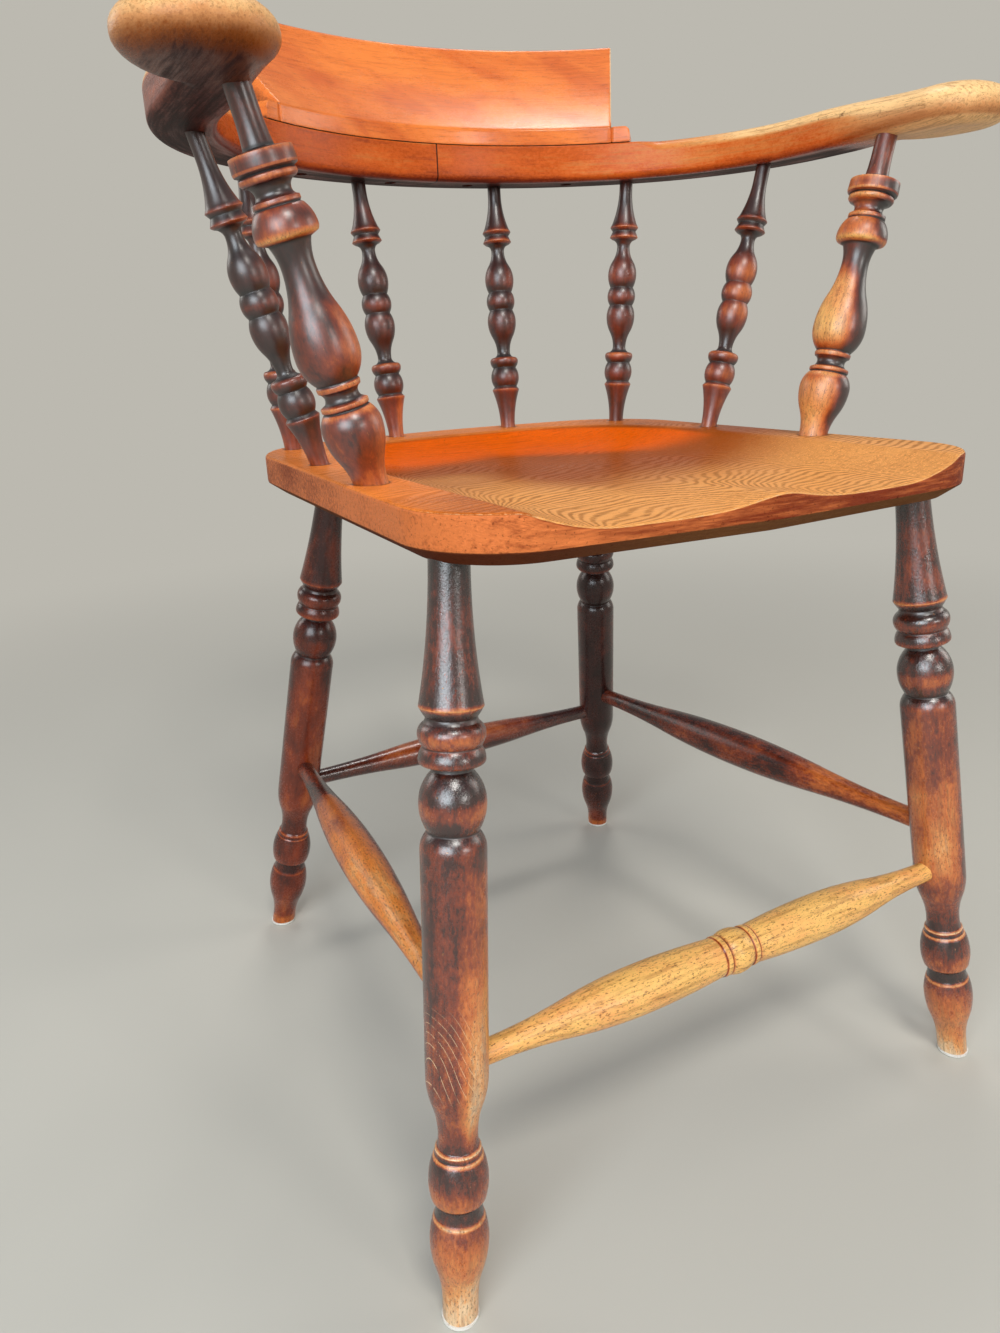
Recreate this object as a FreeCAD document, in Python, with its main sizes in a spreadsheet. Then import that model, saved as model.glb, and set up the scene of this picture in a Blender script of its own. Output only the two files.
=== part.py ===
import FreeCAD, Part
import math
import os
import Sketcher

# Smoker's bow armchair: a saddled seat on four turned and splayed legs with a box of
# stretchers, and a two-piece bow of arms on turned spindles that carries a leaning crest.
# Millimetres and degrees. X runs across the chair, Y to its back and Z up from the floor.
# Right is +X. Each right-hand piece is made once and mirrored to the left.

DRIVING_SIZES = {
    # Fits shared by every turned end and its socket.
    "joint_clearance": 0.15,
    "socket_end_gap": 0.5,
    "socket_run_out": 40,
    # Seat plank: height of its rim and the corner points of its outline, each one rounded.
    "seat_height": 490,
    "seat_thickness": 29,
    "seat_back_reach": 203,
    "seat_back_round": 500,
    "seat_rear_corner_out": 191,
    "seat_rear_corner_reach": 181,
    "seat_rear_corner_round": 85,
    "seat_front_corner_out": 204.5,
    "seat_front_corner_reach": 232,
    "seat_front_corner_round": 64,
    "seat_pommel_reach": 246,
    "seat_pommel_round": 60,
    "seat_chamfer_width": 12,
    "seat_chamfer_height": 8.5,
    "seat_top_edge_round": 1.8,
    # Saddle: the hollow inside the spindle line, open to the front each side of the pommel.
    "saddle_half_width": 160,
    "saddle_back_reach": 154,
    "saddle_wall": 58,
    "saddle_depth_back": 17,
    "saddle_depth_front": 12.5,
    "saddle_ridge_height": 7,
    "saddle_ridge_half_width": 30,
    "saddle_ridge_length": 190,
    # Leg axes: where each meets the floor and the underside of the seat.
    "front_foot_out": 227,
    "front_foot_reach": 240,
    "front_leg_top_out": 179.5,
    "front_leg_top_reach": 182.5,
    "back_foot_out": 198,
    "back_foot_reach": 240,
    "back_leg_top_out": 132,
    "back_leg_top_reach": 145,
    "leg_tenon_depth": 15,
    "pad_thickness": 3,
    "pad_diameter": 23.4,
    "pad_edge_round": 1,
    # Stretcher heights on the leg axes, and how deep their ends enter the legs.
    "front_stretcher_height": 168,
    "back_stretcher_height": 168,
    "side_stretcher_front_height": 201,
    "side_stretcher_back_height": 190,
    "stretcher_tenon_depth": 14,
    # Spindle and arm support feet on the seat, and their tops under the bow.
    "support_foot_out": 183,
    "support_foot_reach": -84,
    "support_top_out": 238,
    "support_top_reach": -83,
    "side_spindle_foot_out": 177,
    "side_spindle_foot_reach": 32,
    "side_spindle_top_out": 234,
    "side_spindle_top_reach": 40,
    "corner_spindle_foot_out": 161,
    "corner_spindle_foot_reach": 149.5,
    "corner_spindle_top_out": 175,
    "corner_spindle_top_reach": 154,
    "back_spindle_foot_out": 57,
    "back_spindle_foot_reach": 178,
    "back_spindle_top_out": 65,
    "back_spindle_top_reach": 204,
    "spindle_tenon_depth": 14,
    "support_tenon_depth": 16,
    # Bow: a back arc, tighter shoulders and straight arms that end in round paddles.
    "bow_underside": 698.5,
    "bow_thickness": 28.5,
    "bow_width": 42,
    "bow_back_radius": 282,
    "bow_back_centre": -78,
    "bow_shoulder_angle": 38,
    "arm_centre_out": 246,
    "paddle_radius": 39,
    "paddle_centre_reach": -117,
    "paddle_notch_radius": 10,
    "arm_top_round": 9,
    "arm_under_round": 5.5,
    "paddle_top_round": 15,
    "paddle_under_round": 11,
    # Crest: rises from the bow's inner face, leans back and steps down to a foot at each end.
    "crest_height": 86,
    "crest_lean": 57,
    "crest_hollow": 4,
    "crest_top_thickness": 11,
    "crest_base_depth": 41,
    "crest_half_angle": 34.3,
    "crest_foot_height": 12.5,
    "crest_foot_half_angle": 37.8,
    "crest_foot_round": 5,
    "crest_land_angle": 38.6,
    "crest_top_round": 2.5,
    # Hidden fixings of the bow: screws up into the crest and dowels across the centre joint.
    "screw_inner_angle": 7.5,
    "screw_outer_angle": 26,
    "screw_shank_diameter": 4.5,
    "screw_head_diameter": 8.5,
    "screw_head_height": 3.5,
    "screw_length": 38,
    "screw_bore_depth": 7,
    "screw_bore_diameter": 10,
    "dowel_diameter": 8,
    "dowel_length": 44,
    "dowel_spacing": 18,
}

# Turnings: each station is a name, its distance along the axis, its diameter and its kind.
# An edge is a sharp corner. A crest is the top of a swell or the bottom of a hollow, where the
# outline runs along the axis. Two crests join in an ogee, a crest and an edge in one arc, and
# two edges or two shaft stations in a straight line.
LEG_TURNING = (
    ("foot", 0, 22, "edge"),
    ("ankle", 14, 22.4, "crest"),
    ("vase", 56, 36.4, "crest"),
    ("vase_top", 71, 31.6, "edge"),
    ("collar_low", 73, 29.4, "edge"),
    ("collar_top", 80.5, 27.6, "edge"),
    ("bead_low", 84, 33.6, "edge"),
    ("bead", 95.5, 36.8, "crest"),
    ("bead_top", 112.5, 30.2, "edge"),
    ("fillet_low", 113.4, 28.6, "edge"),
    ("fillet_top", 116.8, 28.2, "edge"),
    ("lower_neck_low", 118.6, 25, "edge"),
    ("lower_neck", 126, 24.2, "crest"),
    ("shaft_low", 165, 37.8, "shaft"),
    ("shaft_top", 304, 38.4, "shaft"),
    ("shaft_groove", 314.6, 29.6, "edge"),
    ("ball", 331, 38.8, "crest"),
    ("ball_top", 350, 22.6, "edge"),
    ("neck_top", 352.4, 22.6, "edge"),
    ("lower_ring_low", 353.4, 33, "edge"),
    ("lower_ring", 356, 38.4, "crest"),
    ("ring_groove", 363.8, 33, "edge"),
    ("upper_ring", 371, 38.6, "crest"),
    ("upper_ring_top", 377.4, 31, "edge"),
    ("skirt_groove", 379.8, 29, "edge"),
    ("lip_low", 383, 33.2, "edge"),
    ("lip", 386.2, 36.8, "edge"),
)
LEG_TOP_DIAMETER = ("leg_top_dia", 23)

SPINDLE_TURNING = (
    ("foot", 0, 13.2, "shaft"),
    ("cup_lip", 33.6, 25, "edge"),
    ("cup_groove", 36.4, 20.6, "edge"),
    ("ball", 44.8, 25.8, "crest"),
    ("ball_groove", 53.4, 20.6, "edge"),
    ("lower_ring", 59.4, 25.8, "crest"),
    ("lower_ring_top", 62.4, 21.6, "edge"),
    ("lower_neck", 67.2, 11.8, "crest"),
    ("lower_bulb", 94.6, 26, "crest"),
    ("low_groove", 104.4, 20.8, "edge"),
    ("bead", 112.2, 25.7, "crest"),
    ("high_groove", 120, 20.8, "edge"),
    ("upper_bulb", 130.8, 26, "crest"),
    ("upper_neck", 155.4, 11.4, "crest"),
    ("upper_ring_low", 161.4, 21.4, "edge"),
    ("upper_ring", 163, 25.6, "edge"),
    ("ring_groove", 168.2, 20.8, "edge"),
    ("trumpet_lip", 171.4, 25.6, "edge"),
    ("trumpet_rim", 174.2, 22.4, "edge"),
    ("throat", 203, 11.6, "shaft"),
)

SUPPORT_TURNING = (
    ("foot", 0, 21, "shaft"),
    ("egg", 35, 37.2, "crest"),
    ("egg_top", 45.6, 29.2, "edge"),
    ("egg_groove", 46.6, 26.8, "edge"),
    ("egg_fillet_low", 47.6, 29, "edge"),
    ("egg_fillet_top", 49.8, 29, "edge"),
    ("ankle_low", 51.4, 22.6, "edge"),
    ("ankle", 54.6, 20.4, "crest"),
    ("ankle_ring_low", 58.4, 26, "edge"),
    ("ankle_ring_top", 61, 26.8, "edge"),
    ("vase_low", 62.4, 24.8, "edge"),
    ("vase", 79, 38.4, "crest"),
    ("waist", 127, 19.4, "crest"),
    ("waist_top", 139.6, 24.6, "edge"),
    ("dome_under", 141.6, 34.6, "edge"),
    ("dome", 144.8, 36.8, "crest"),
    ("dome_top", 156.6, 28.4, "edge"),
    ("dome_groove", 157.6, 25.2, "edge"),
    ("dome_fillet_low", 158.6, 27, "edge"),
    ("dome_fillet_top", 161, 26.8, "edge"),
    ("cove", 164.6, 20.4, "crest"),
    ("cove_top", 169.8, 30.2, "edge"),
    ("step", 171.4, 32.6, "edge"),
    ("step_top", 173.2, 32.4, "edge"),
    ("flange_groove", 174.4, 30, "edge"),
    ("flange_low", 175.6, 35.4, "edge"),
    ("flange", 177, 36.4, "edge"),
    ("flange_top", 184.4, 35.6, "edge"),
    ("neck_low", 186, 17.4, "edge"),
    ("neck", 204, 14.9, "shaft"),
)

# Stretchers are alike about their middle: each station's distance is from the middle outwards.
FRONT_STRETCHER_TURNING = (
    ("bead", 0, 31, "crest"),
    ("bead_edge", 9.4, 26.4, "edge"),
    ("inner_ring", 10.4, 28, "edge"),
    ("outer_ring", 13.4, 28, "edge"),
    ("swell_edge", 14.8, 26.6, "edge"),
    ("swell", 76, 32, "crest"),
)
FRONT_STRETCHER_END = ("front_stretcher_end_dia", 15)

SIDE_STRETCHER_TURNING = (
    ("swell", 0, 33, "crest"),
)
SIDE_STRETCHER_END = ("side_stretcher_end_dia", 15)

BACK_STRETCHER_TURNING = (
    ("swell", 0, 29, "crest"),
)
BACK_STRETCHER_END = ("back_stretcher_end_dia", 14.6)

VECTOR = FreeCAD.Vector
UPRIGHT = VECTOR(0, 0, 1)

doc = FreeCAD.newDocument("smokers_bow_chair")
sheet = doc.addObject("Spreadsheet::Sheet", "Sizes")
worked_sheet = doc.addObject("Spreadsheet::Sheet", "Worked")
sheet_values = {"Sizes": {}, "Worked": {}}
nodes = []


def enter(target, alias, value):
    """Write one plain number into a sheet under its alias and return it as a dimension."""
    values = sheet_values[target.Name]
    row = len(values) + 1
    target.set("A%d" % row, alias)
    target.set("B%d" % row, "%.9g" % value)
    target.setAlias("B%d" % row, alias)
    values[alias] = float("%.9g" % value)
    return cell(alias)


def cell(alias):
    """A dimension: its number and the expression that names its cell."""
    for sheet_name, values in sheet_values.items():
        if alias in values:
            return values[alias], "%s.%s" % (sheet_name, alias)
    raise KeyError(alias)


def size(alias):
    return cell(alias)[0]


def total(first, second):
    return first[0] + second[0], "(%s + %s)" % (first[1], second[1])


def less(first, second):
    return first[0] - second[0], "(%s - %s)" % (first[1], second[1])


def halved(dimension):
    return dimension[0] / 2, "(%s / 2)" % dimension[1]


def turning_cells(piece, turning):
    """Enter a turning's stations and return them as level, radius and kind."""
    stations = []
    for name, level, diameter, kind in turning:
        level_cell = enter(sheet, "%s_%s_level" % (piece, name), level) if level else None
        width_cell = enter(sheet, "%s_%s_dia" % (piece, name), diameter)
        stations.append((level_cell, halved(width_cell), kind))
    return stations


for size_name, size_value in DRIVING_SIZES.items():
    enter(sheet, size_name, size_value)
leg_stations = turning_cells("leg", LEG_TURNING)
spindle_stations = turning_cells("spindle", SPINDLE_TURNING)
support_stations = turning_cells("support", SUPPORT_TURNING)
front_stretcher_stations = turning_cells("front_stretcher", FRONT_STRETCHER_TURNING)
side_stretcher_stations = turning_cells("side_stretcher", SIDE_STRETCHER_TURNING)
back_stretcher_stations = turning_cells("back_stretcher", BACK_STRETCHER_TURNING)
leg_top_width = enter(sheet, *LEG_TOP_DIAMETER)
front_stretcher_end = enter(sheet, *FRONT_STRETCHER_END)
side_stretcher_end = enter(sheet, *SIDE_STRETCHER_END)
back_stretcher_end = enter(sheet, *BACK_STRETCHER_END)
doc.recompute()


def origin_plane(body, role):
    for feature in body.Origin.OriginFeatures:
        if feature.Role == role:
            return feature
    raise LookupError(role)


def new_sketch(body, name, role):
    sketch = body.newObject("Sketcher::SketchObject", name)
    sketch.AttachmentSupport = [(origin_plane(body, role), "")]
    sketch.MapMode = "FlatFace"
    return sketch


class Outline:
    """A closed sketch outline whose corners and radii are bound to cells."""

    def __init__(self, sketch):
        self.sketch = sketch
        self.constraints = []
        self.bindings = []
        self.last_end = None

    def bind(self, constraint, expression):
        self.bindings.append((len(self.constraints), expression))
        self.constraints.append(constraint)

    def join(self, start):
        if self.last_end:
            self.constraints.append(Sketcher.Constraint("Coincident", *self.last_end, *start))

    def line(self, first, second):
        geometry = self.sketch.addGeometry(Part.LineSegment(VECTOR(*first, 0), VECTOR(*second, 0)))
        self.join((geometry, 1))
        self.last_end = (geometry, 2)
        return geometry, 1, 2

    def arc(self, first, second, centre):
        """An arc of less than half a turn about the centre."""
        start = VECTOR(*first, 0)
        end = VECTOR(*second, 0)
        hub = VECTOR(*centre, 0)
        outward = (start + end) / 2 - hub
        middle = hub + outward.normalize() * (start - hub).Length
        geometry = self.sketch.addGeometry(Part.Arc(start, middle, end))
        begins = 1 if (self.sketch.getPoint(geometry, 1) - start).Length < 1e-6 else 2
        self.join((geometry, begins))
        self.last_end = (geometry, 3 - begins)
        return geometry, begins, 3 - begins

    def pin(self, point, across, along):
        """Hold a point at its two bound distances from the sketch's origin."""
        for kind, (value, expression) in (("DistanceX", across), ("DistanceY", along)):
            if value < 0:
                self.bind(Sketcher.Constraint(kind, *point, -1, 1, -value), "-" + expression)
            else:
                self.bind(Sketcher.Constraint(kind, -1, 1, *point, value), expression)

    def finish(self):
        self.sketch.addConstraint(self.constraints)
        for index, expression in self.bindings:
            self.sketch.setExpression("Constraints[%d]" % index, expression)


def crest_centre(crest, other):
    """Centre of the arc that leaves a crest along the axis and passes the other point."""
    rise = other[0] - crest[0]
    radius = (rise ** 2 + (other[1] - crest[1]) ** 2) / (2 * rise)
    return crest[0] + radius, crest[1]


def turned_body(name, stations):
    """A turned solid standing on its local Z axis, from stations of level, radius and kind."""
    body = doc.addObject("PartDesign::Body", name)
    outline = Outline(new_sketch(body, name + "_outline", "XZ_Plane"))
    points = [(radius[0], level[0] if level else 0) for level, radius, kind in stations]
    bottom = outline.line((0, 0), points[0])
    outline.constraints.append(Sketcher.Constraint("Coincident", bottom[0], 1, -1, 1))
    outline.constraints.append(Sketcher.Constraint("Horizontal", bottom[0]))
    outline.bind(Sketcher.Constraint("DistanceX", -1, 1, bottom[0], 2, points[0][0]), stations[0][1][1])
    for index in range(1, len(stations)):
        before, here = points[index - 1], points[index]
        kinds = (stations[index - 1][2], stations[index][2])
        rounded = [kind != "edge" for kind in kinds]
        if kinds == ("shaft", "shaft") or not any(rounded) or abs(before[0] - here[0]) < 1e-6:
            piece = outline.line(before, here)
        elif all(rounded):
            middle = ((before[0] + here[0]) / 2, (before[1] + here[1]) / 2)
            first = outline.arc(before, middle, crest_centre(before, middle))
            piece = outline.arc(middle, here, crest_centre(here, middle))
            outline.constraints += [
                Sketcher.Constraint("Symmetric", first[0], first[1], piece[0], piece[2], *first[::2]),
                Sketcher.Constraint("Horizontal", first[0], 3, first[0], first[1]),
                Sketcher.Constraint("Horizontal", piece[0], 3, piece[0], piece[2]),
            ]
        elif rounded[0]:
            piece = outline.arc(before, here, crest_centre(before, here))
            outline.constraints.append(Sketcher.Constraint("Horizontal", piece[0], 3, *piece[:2]))
        else:
            piece = outline.arc(before, here, crest_centre(here, before))
            outline.constraints.append(Sketcher.Constraint("Horizontal", piece[0], 3, *piece[::2]))
        outline.pin((piece[0], piece[2]), stations[index][1], stations[index][0])
    top = outline.line(points[-1], (0, points[-1][1]))
    outline.constraints.append(Sketcher.Constraint("Horizontal", top[0]))
    outline.constraints.append(Sketcher.Constraint("PointOnObject", top[0], 2, -2))
    axis = outline.line((0, points[-1][1]), (0, 0))
    outline.constraints.append(Sketcher.Constraint("Coincident", axis[0], 2, bottom[0], 1))
    outline.finish()
    turning = body.newObject("PartDesign::Revolution", name + "_turning")
    turning.Profile = outline.sketch
    turning.ReferenceAxis = (outline.sketch, ["V_Axis"])
    turning.Angle = 360
    return body


def along_axis(start, end, distance=0):
    """Placement that stands a turned piece's local Z axis on the line from start to end."""
    direction = (end - start).normalize()
    return FreeCAD.Placement(start + direction * distance, FreeCAD.Rotation(UPRIGHT, direction))


def socket(name, diameter, start, end):
    """Boring tool for a turned end: it starts at the blind end and runs out of the surface."""
    tool = doc.addObject("Part::Cylinder", name)
    tool.setExpression("Radius", "%s / 2 + Sizes.joint_clearance" % diameter[1])
    tool.setExpression("Height", "Sizes.socket_run_out")
    tool.Placement = along_axis(start, end, -size("socket_end_gap"))
    return tool


def cut(name, base, tools):
    tool = tools[0]
    if len(tools) > 1:
        tool = doc.addObject("Part::Compound", name + "_tools")
        tool.Links = tools
    piece = doc.addObject("Part::Cut", name)
    piece.Base = base
    piece.Tool = tool
    return piece


def keep(piece, label):
    piece.Label = label
    nodes.append(piece)
    return piece


def mirrored(source, label):
    piece = doc.addObject("Part::Mirroring", label)
    piece.Source = source
    piece.Normal = VECTOR(1, 0, 0)
    return keep(piece, label)


def opposite(point):
    return VECTOR(-point.x, point.y, point.z)


def point_between(start, end, height):
    """Point at a height on the line from start to end."""
    return start + (end - start) * ((height - start.z) / (end.z - start.z))


# Leg axes, from the floor to the underside of the seat.
seat_underside = size("seat_height") - size("seat_thickness")


def leg_axis(place, direction):
    foot = VECTOR(size(place + "_foot_out"), direction * size(place + "_foot_reach"), 0)
    top_reach = direction * size(place + "_leg_top_reach")
    return foot, VECTOR(size(place + "_leg_top_out"), top_reach, seat_underside)


leg_axes = {"front": leg_axis("front", -1), "back": leg_axis("back", 1)}

# Spindle axes, from the rim of the seat to the underside of the bow.
SPINDLE_PLACES = ("support", "side_spindle", "corner_spindle", "back_spindle")


def spindle_axis(place):
    foot = VECTOR(size(place + "_foot_out"), size(place + "_foot_reach"), size("seat_height"))
    top = VECTOR(size(place + "_top_out"), size(place + "_top_reach"), size("bow_underside"))
    return foot, top


spindle_axes = {place: spindle_axis(place) for place in SPINDLE_PLACES}


# Stretchers: each spans two leg axes, and its ends stop short of them inside the legs.
leg_shaft_radius = halved(cell("leg_shaft_low_dia"))
end_setback = leg_shaft_radius[0] - size("stretcher_tenon_depth")
left_leg_axes = {place: tuple(map(opposite, axis)) for place, axis in leg_axes.items()}


def stretcher(label, stations, end_width, start, end):
    """A stretcher along the line between two leg axes, and the boring tools for its ends."""
    start_tip = start + (end - start).normalize() * end_setback
    end_tip = end + (start - end).normalize() * end_setback
    half = enter(worked_sheet, label + "_half", (end_tip - start_tip).Length / 2)
    shoulder = less(half, cell("stretcher_tenon_depth"))
    outward = [(half, halved(end_width), "shaft"), (shoulder, halved(end_width), "shaft")]
    outward += [station for station in reversed(stations)]
    lower = [(less(half, level) if level else half, radius, kind) for level, radius, kind in outward]
    upper = [(total(half, level), radius, kind) for level, radius, kind in reversed(outward) if level]
    body = turned_body(label, [(None,) + lower[0][1:]] + lower[1:] + upper)
    body.Placement = along_axis(start_tip, end_tip)
    keep(body, label)
    start_tool = socket(label + "_start_bore", end_width, start_tip, end_tip)
    end_tool = socket(label + "_end_bore", end_width, end_tip, start_tip)
    return start_tool, end_tool


def across(place, height_name):
    height = size(height_name)
    return point_between(*left_leg_axes[place], height), point_between(*leg_axes[place], height)


side_ends = (
    point_between(*leg_axes["front"], size("side_stretcher_front_height")),
    point_between(*leg_axes["back"], size("side_stretcher_back_height")),
)
front_bores = stretcher("stretcher_front", front_stretcher_stations, front_stretcher_end,
                        *across("front", "front_stretcher_height"))
back_bores = stretcher("stretcher_back", back_stretcher_stations, back_stretcher_end,
                       *across("back", "back_stretcher_height"))
side_bores = stretcher("stretcher_right", side_stretcher_stations, side_stretcher_end, *side_ends)
mirrored(nodes[-1], "stretcher_left")


# Legs: one turning for all four, cut level above the pad, bored for the stretchers.
def leg(place, stretcher_bores):
    foot, top = leg_axes[place]
    length = enter(worked_sheet, place + "_leg_length", (top - foot).Length)
    head = (halved(leg_top_width), "shaft")
    stations = leg_stations + [(length,) + head, (total(length, cell("leg_tenon_depth")),) + head]
    body = turned_body("leg_%s_turning" % place, stations)
    body.Placement = along_axis(foot, top)
    floor_cut = doc.addObject("Part::Cylinder", place + "_floor_cut")
    floor_cut.setExpression("Radius", "Sizes.leg_vase_dia")
    floor_cut.setExpression("Height", "Sizes.pad_thickness + Sizes.leg_foot_dia")
    floor_cut.Placement = FreeCAD.Placement(foot - UPRIGHT * size("leg_foot_dia"), FreeCAD.Rotation())
    piece = cut("leg_%s" % place, body, [floor_cut, *stretcher_bores])
    keep(piece, "leg_%s_right" % place)
    mirrored(piece, "leg_%s_left" % place)
    pad = doc.addObject("PartDesign::Body", "pad_" + place)
    outline = Outline(new_sketch(pad, place + "_pad_outline", "XY_Plane"))
    rim = outline.sketch.addGeometry(Part.Circle(VECTOR(0, 0, 0), UPRIGHT, size("pad_diameter") / 2))
    outline.constraints.append(Sketcher.Constraint("Coincident", rim, 3, -1, 1))
    outline.bind(Sketcher.Constraint("Diameter", rim, size("pad_diameter")), "Sizes.pad_diameter")
    outline.finish()
    disc = pad.newObject("PartDesign::Pad", place + "_pad_disc")
    disc.Profile = outline.sketch
    disc.setExpression("Length", "Sizes.pad_thickness")
    doc.recompute()
    easing = pad.newObject("PartDesign::Fillet", place + "_pad_easing")
    easing.Base = (disc, edges_at_height(disc.Shape, 0))
    easing.setExpression("Radius", "Sizes.pad_edge_round")
    pad.Placement = FreeCAD.Placement(VECTOR(foot.x, foot.y, 0), FreeCAD.Rotation())
    keep(pad, "foot_pad_%s_right" % place)
    mirrored(pad, "foot_pad_%s_left" % place)
    tenon_end = top + (top - foot).normalize() * size("leg_tenon_depth")
    return tenon_end


def edges_at_height(shape, height):
    """Names of the edges that lie in the level plane at a height."""
    names = []
    for index, edge in enumerate(shape.Edges, 1):
        box = edge.BoundBox
        if abs(box.ZMin - height) < 1e-4 and abs(box.ZMax - height) < 1e-4:
            names.append("Edge%d" % index)
    return names


leg_tips = {
    "front": leg("front", [front_bores[1], side_bores[0]]),
    "back": leg("back", [back_bores[1], side_bores[1]]),
}

# Spindles and arm supports: the turned foot and neck run straight on into their sockets.
SPINDLE_SET = (spindle_stations, "spindle_tenon_depth", "spindle_foot_dia", "spindle_throat_dia")
SUPPORT_SET = (support_stations, "support_tenon_depth", "support_foot_dia", "support_neck_dia")
TURNED_SETS = {
    "support": ("arm_support", *SUPPORT_SET),
    "side_spindle": ("spindle_side", *SPINDLE_SET),
    "corner_spindle": ("spindle_corner", *SPINDLE_SET),
    "back_spindle": ("spindle_back", *SPINDLE_SET),
}
seat_bores = []
bow_bores = []
for place, (label, stations, depth_name, foot_name, neck_name) in TURNED_SETS.items():
    foot, top = spindle_axes[place]
    depth = cell(depth_name)
    reach = enter(worked_sheet, label + "_length", (top - foot).Length)
    lifted = [(None, stations[0][1], "shaft")]
    lifted += [(total(depth, level) if level else depth, radius, kind) for level, radius, kind in stations]
    lifted.append((total(total(depth, reach), depth), stations[-1][1], "shaft"))
    body = turned_body(label, lifted)
    body.Placement = along_axis(foot, top, -depth[0])
    keep(body, label + "_right")
    mirrored(body, label + "_left")
    direction = (top - foot).normalize()
    foot_tip = foot - direction * depth[0]
    neck_tip = top + direction * depth[0]
    seat_bores.append(socket(label + "_seat_bore", cell(foot_name), foot_tip, top))
    bow_bores.append(socket(label + "_bow_bore", cell(neck_name), neck_tip, foot))


# Seat: rounded plank, chamfered below, hollowed to a saddle and bored on both faces.
def rounded_corner(before, corner, after, radius):
    """Start, end and centre of the arc that rounds one corner of an outline."""
    back = (VECTOR(*before, 0) - VECTOR(*corner, 0)).normalize()
    on = (VECTOR(*after, 0) - VECTOR(*corner, 0)).normalize()
    half_angle = back.getAngle(on) / 2
    reach = radius / math.tan(half_angle)
    centre = VECTOR(*corner, 0) + (back + on).normalize() * (radius / math.sin(half_angle))
    start = VECTOR(*corner, 0) + back * reach
    end = VECTOR(*corner, 0) + on * reach
    return (start.x, start.y), (end.x, end.y), (centre.x, centre.y)


def seat_blank():
    body = doc.addObject("PartDesign::Body", "seat_blank")
    outline = Outline(new_sketch(body, "seat_outline", "XY_Plane"))
    rear = (size("seat_rear_corner_out"), size("seat_rear_corner_reach"))
    front = (size("seat_front_corner_out"), -size("seat_front_corner_reach"))
    corners = [
        ((0, size("seat_back_reach")), "seat_back_round"),
        (rear, "seat_rear_corner_round"),
        (front, "seat_front_corner_round"),
        ((0, -size("seat_pommel_reach")), "seat_pommel_round"),
        ((-front[0], front[1]), "seat_front_corner_round"),
        ((-rear[0], rear[1]), "seat_rear_corner_round"),
    ]
    places = [place for place, radius in corners]
    arcs = []
    for index, (place, radius) in enumerate(corners):
        after = places[(index + 1) % len(places)]
        arcs.append(rounded_corner(places[index - 1], place, after, size(radius)) + (radius,))
    first_line = None
    for index, (start, end, centre, radius) in enumerate(arcs):
        line = outline.line(arcs[index - 1][1], start)
        first_line = first_line or line
        bend = outline.arc(start, end, centre)
        outline.bind(Sketcher.Constraint("Radius", bend[0], size(radius)), "Sizes." + radius)
        for name, point, place in (("in", bend[1], start), ("out", bend[2], end)):
            across = enter(worked_sheet, "seat_bend_%d_%s_x" % (index, name), place[0])
            along = enter(worked_sheet, "seat_bend_%d_%s_y" % (index, name), place[1])
            outline.pin((bend[0], point), across, along)
    outline.constraints.append(Sketcher.Constraint("Coincident", *outline.last_end, first_line[0], 1))
    outline.finish()
    plank = body.newObject("PartDesign::Pad", "seat_plank")
    plank.Profile = outline.sketch
    plank.setExpression("Length", "Sizes.seat_thickness")
    doc.recompute()
    under = body.newObject("PartDesign::Chamfer", "seat_under_chamfer")
    under.Base = (plank, edges_at_height(plank.Shape, 0))
    under.ChamferType = "Two distances"
    under.setExpression("Size", "Sizes.seat_chamfer_height")
    under.setExpression("Size2", "Sizes.seat_chamfer_width")
    doc.recompute()
    top = body.newObject("PartDesign::Fillet", "seat_top_easing")
    top.Base = (under, edges_at_height(under.Shape, size("seat_thickness")))
    top.setExpression("Radius", "Sizes.seat_top_edge_round")
    body.Placement = FreeCAD.Placement(VECTOR(0, 0, seat_underside), FreeCAD.Rotation())
    return body


SADDLE_SQUARENESS = 2.8
SADDLE_GRID_STEP = 22
SADDLE_MARGIN = 20


def saddle_drop(x, y):
    """How far the saddle lies below the rim; less than nothing outside its edge."""
    across = abs(x) / size("saddle_half_width")
    behind = max(y, 0) / size("saddle_back_reach")
    spread = (across ** SADDLE_SQUARENESS + behind ** SADDLE_SQUARENESS) ** (1 / SADDLE_SQUARENESS)
    inset = (1 - spread) * size("saddle_half_width") / size("saddle_wall")
    fill = 2 * inset if inset < 0 else 1 - (1 - min(inset, 1)) ** 2
    front_share = (size("seat_back_reach") - y) / (size("seat_back_reach") + size("seat_pommel_reach"))
    depth = size("saddle_depth_back") + front_share * (size("saddle_depth_front") - size("saddle_depth_back"))
    ridge_share = max(0, 1 - (y + size("seat_pommel_reach")) / size("saddle_ridge_length"))
    ridge = size("saddle_ridge_height") * ridge_share ** 1.5
    return depth * fill - ridge * math.exp(-(x / size("saddle_ridge_half_width")) ** 2)


def grid_line(low, high):
    steps = math.ceil((high - low) / SADDLE_GRID_STEP)
    return [low + (high - low) * index / steps for index in range(steps + 1)]


def saddle_tool():
    """The waste above the saddle, bounded below by one smooth surface."""
    half_width = size("seat_front_corner_out") + SADDLE_MARGIN
    columns = grid_line(-half_width, half_width)
    rows = grid_line(-size("seat_pommel_reach") - SADDLE_MARGIN, size("seat_back_reach") + SADDLE_MARGIN)
    rim = size("seat_height")
    points = [[VECTOR(x, y, rim - saddle_drop(x, y)) for y in rows] for x in columns]
    surface = Part.BSplineSurface()
    surface.interpolate(points)
    tool = doc.addObject("Part::Feature", "saddle_waste")
    tool.Shape = surface.toShape().extrude(UPRIGHT * (size("saddle_depth_back") + size("seat_thickness")))
    return tool


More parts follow.
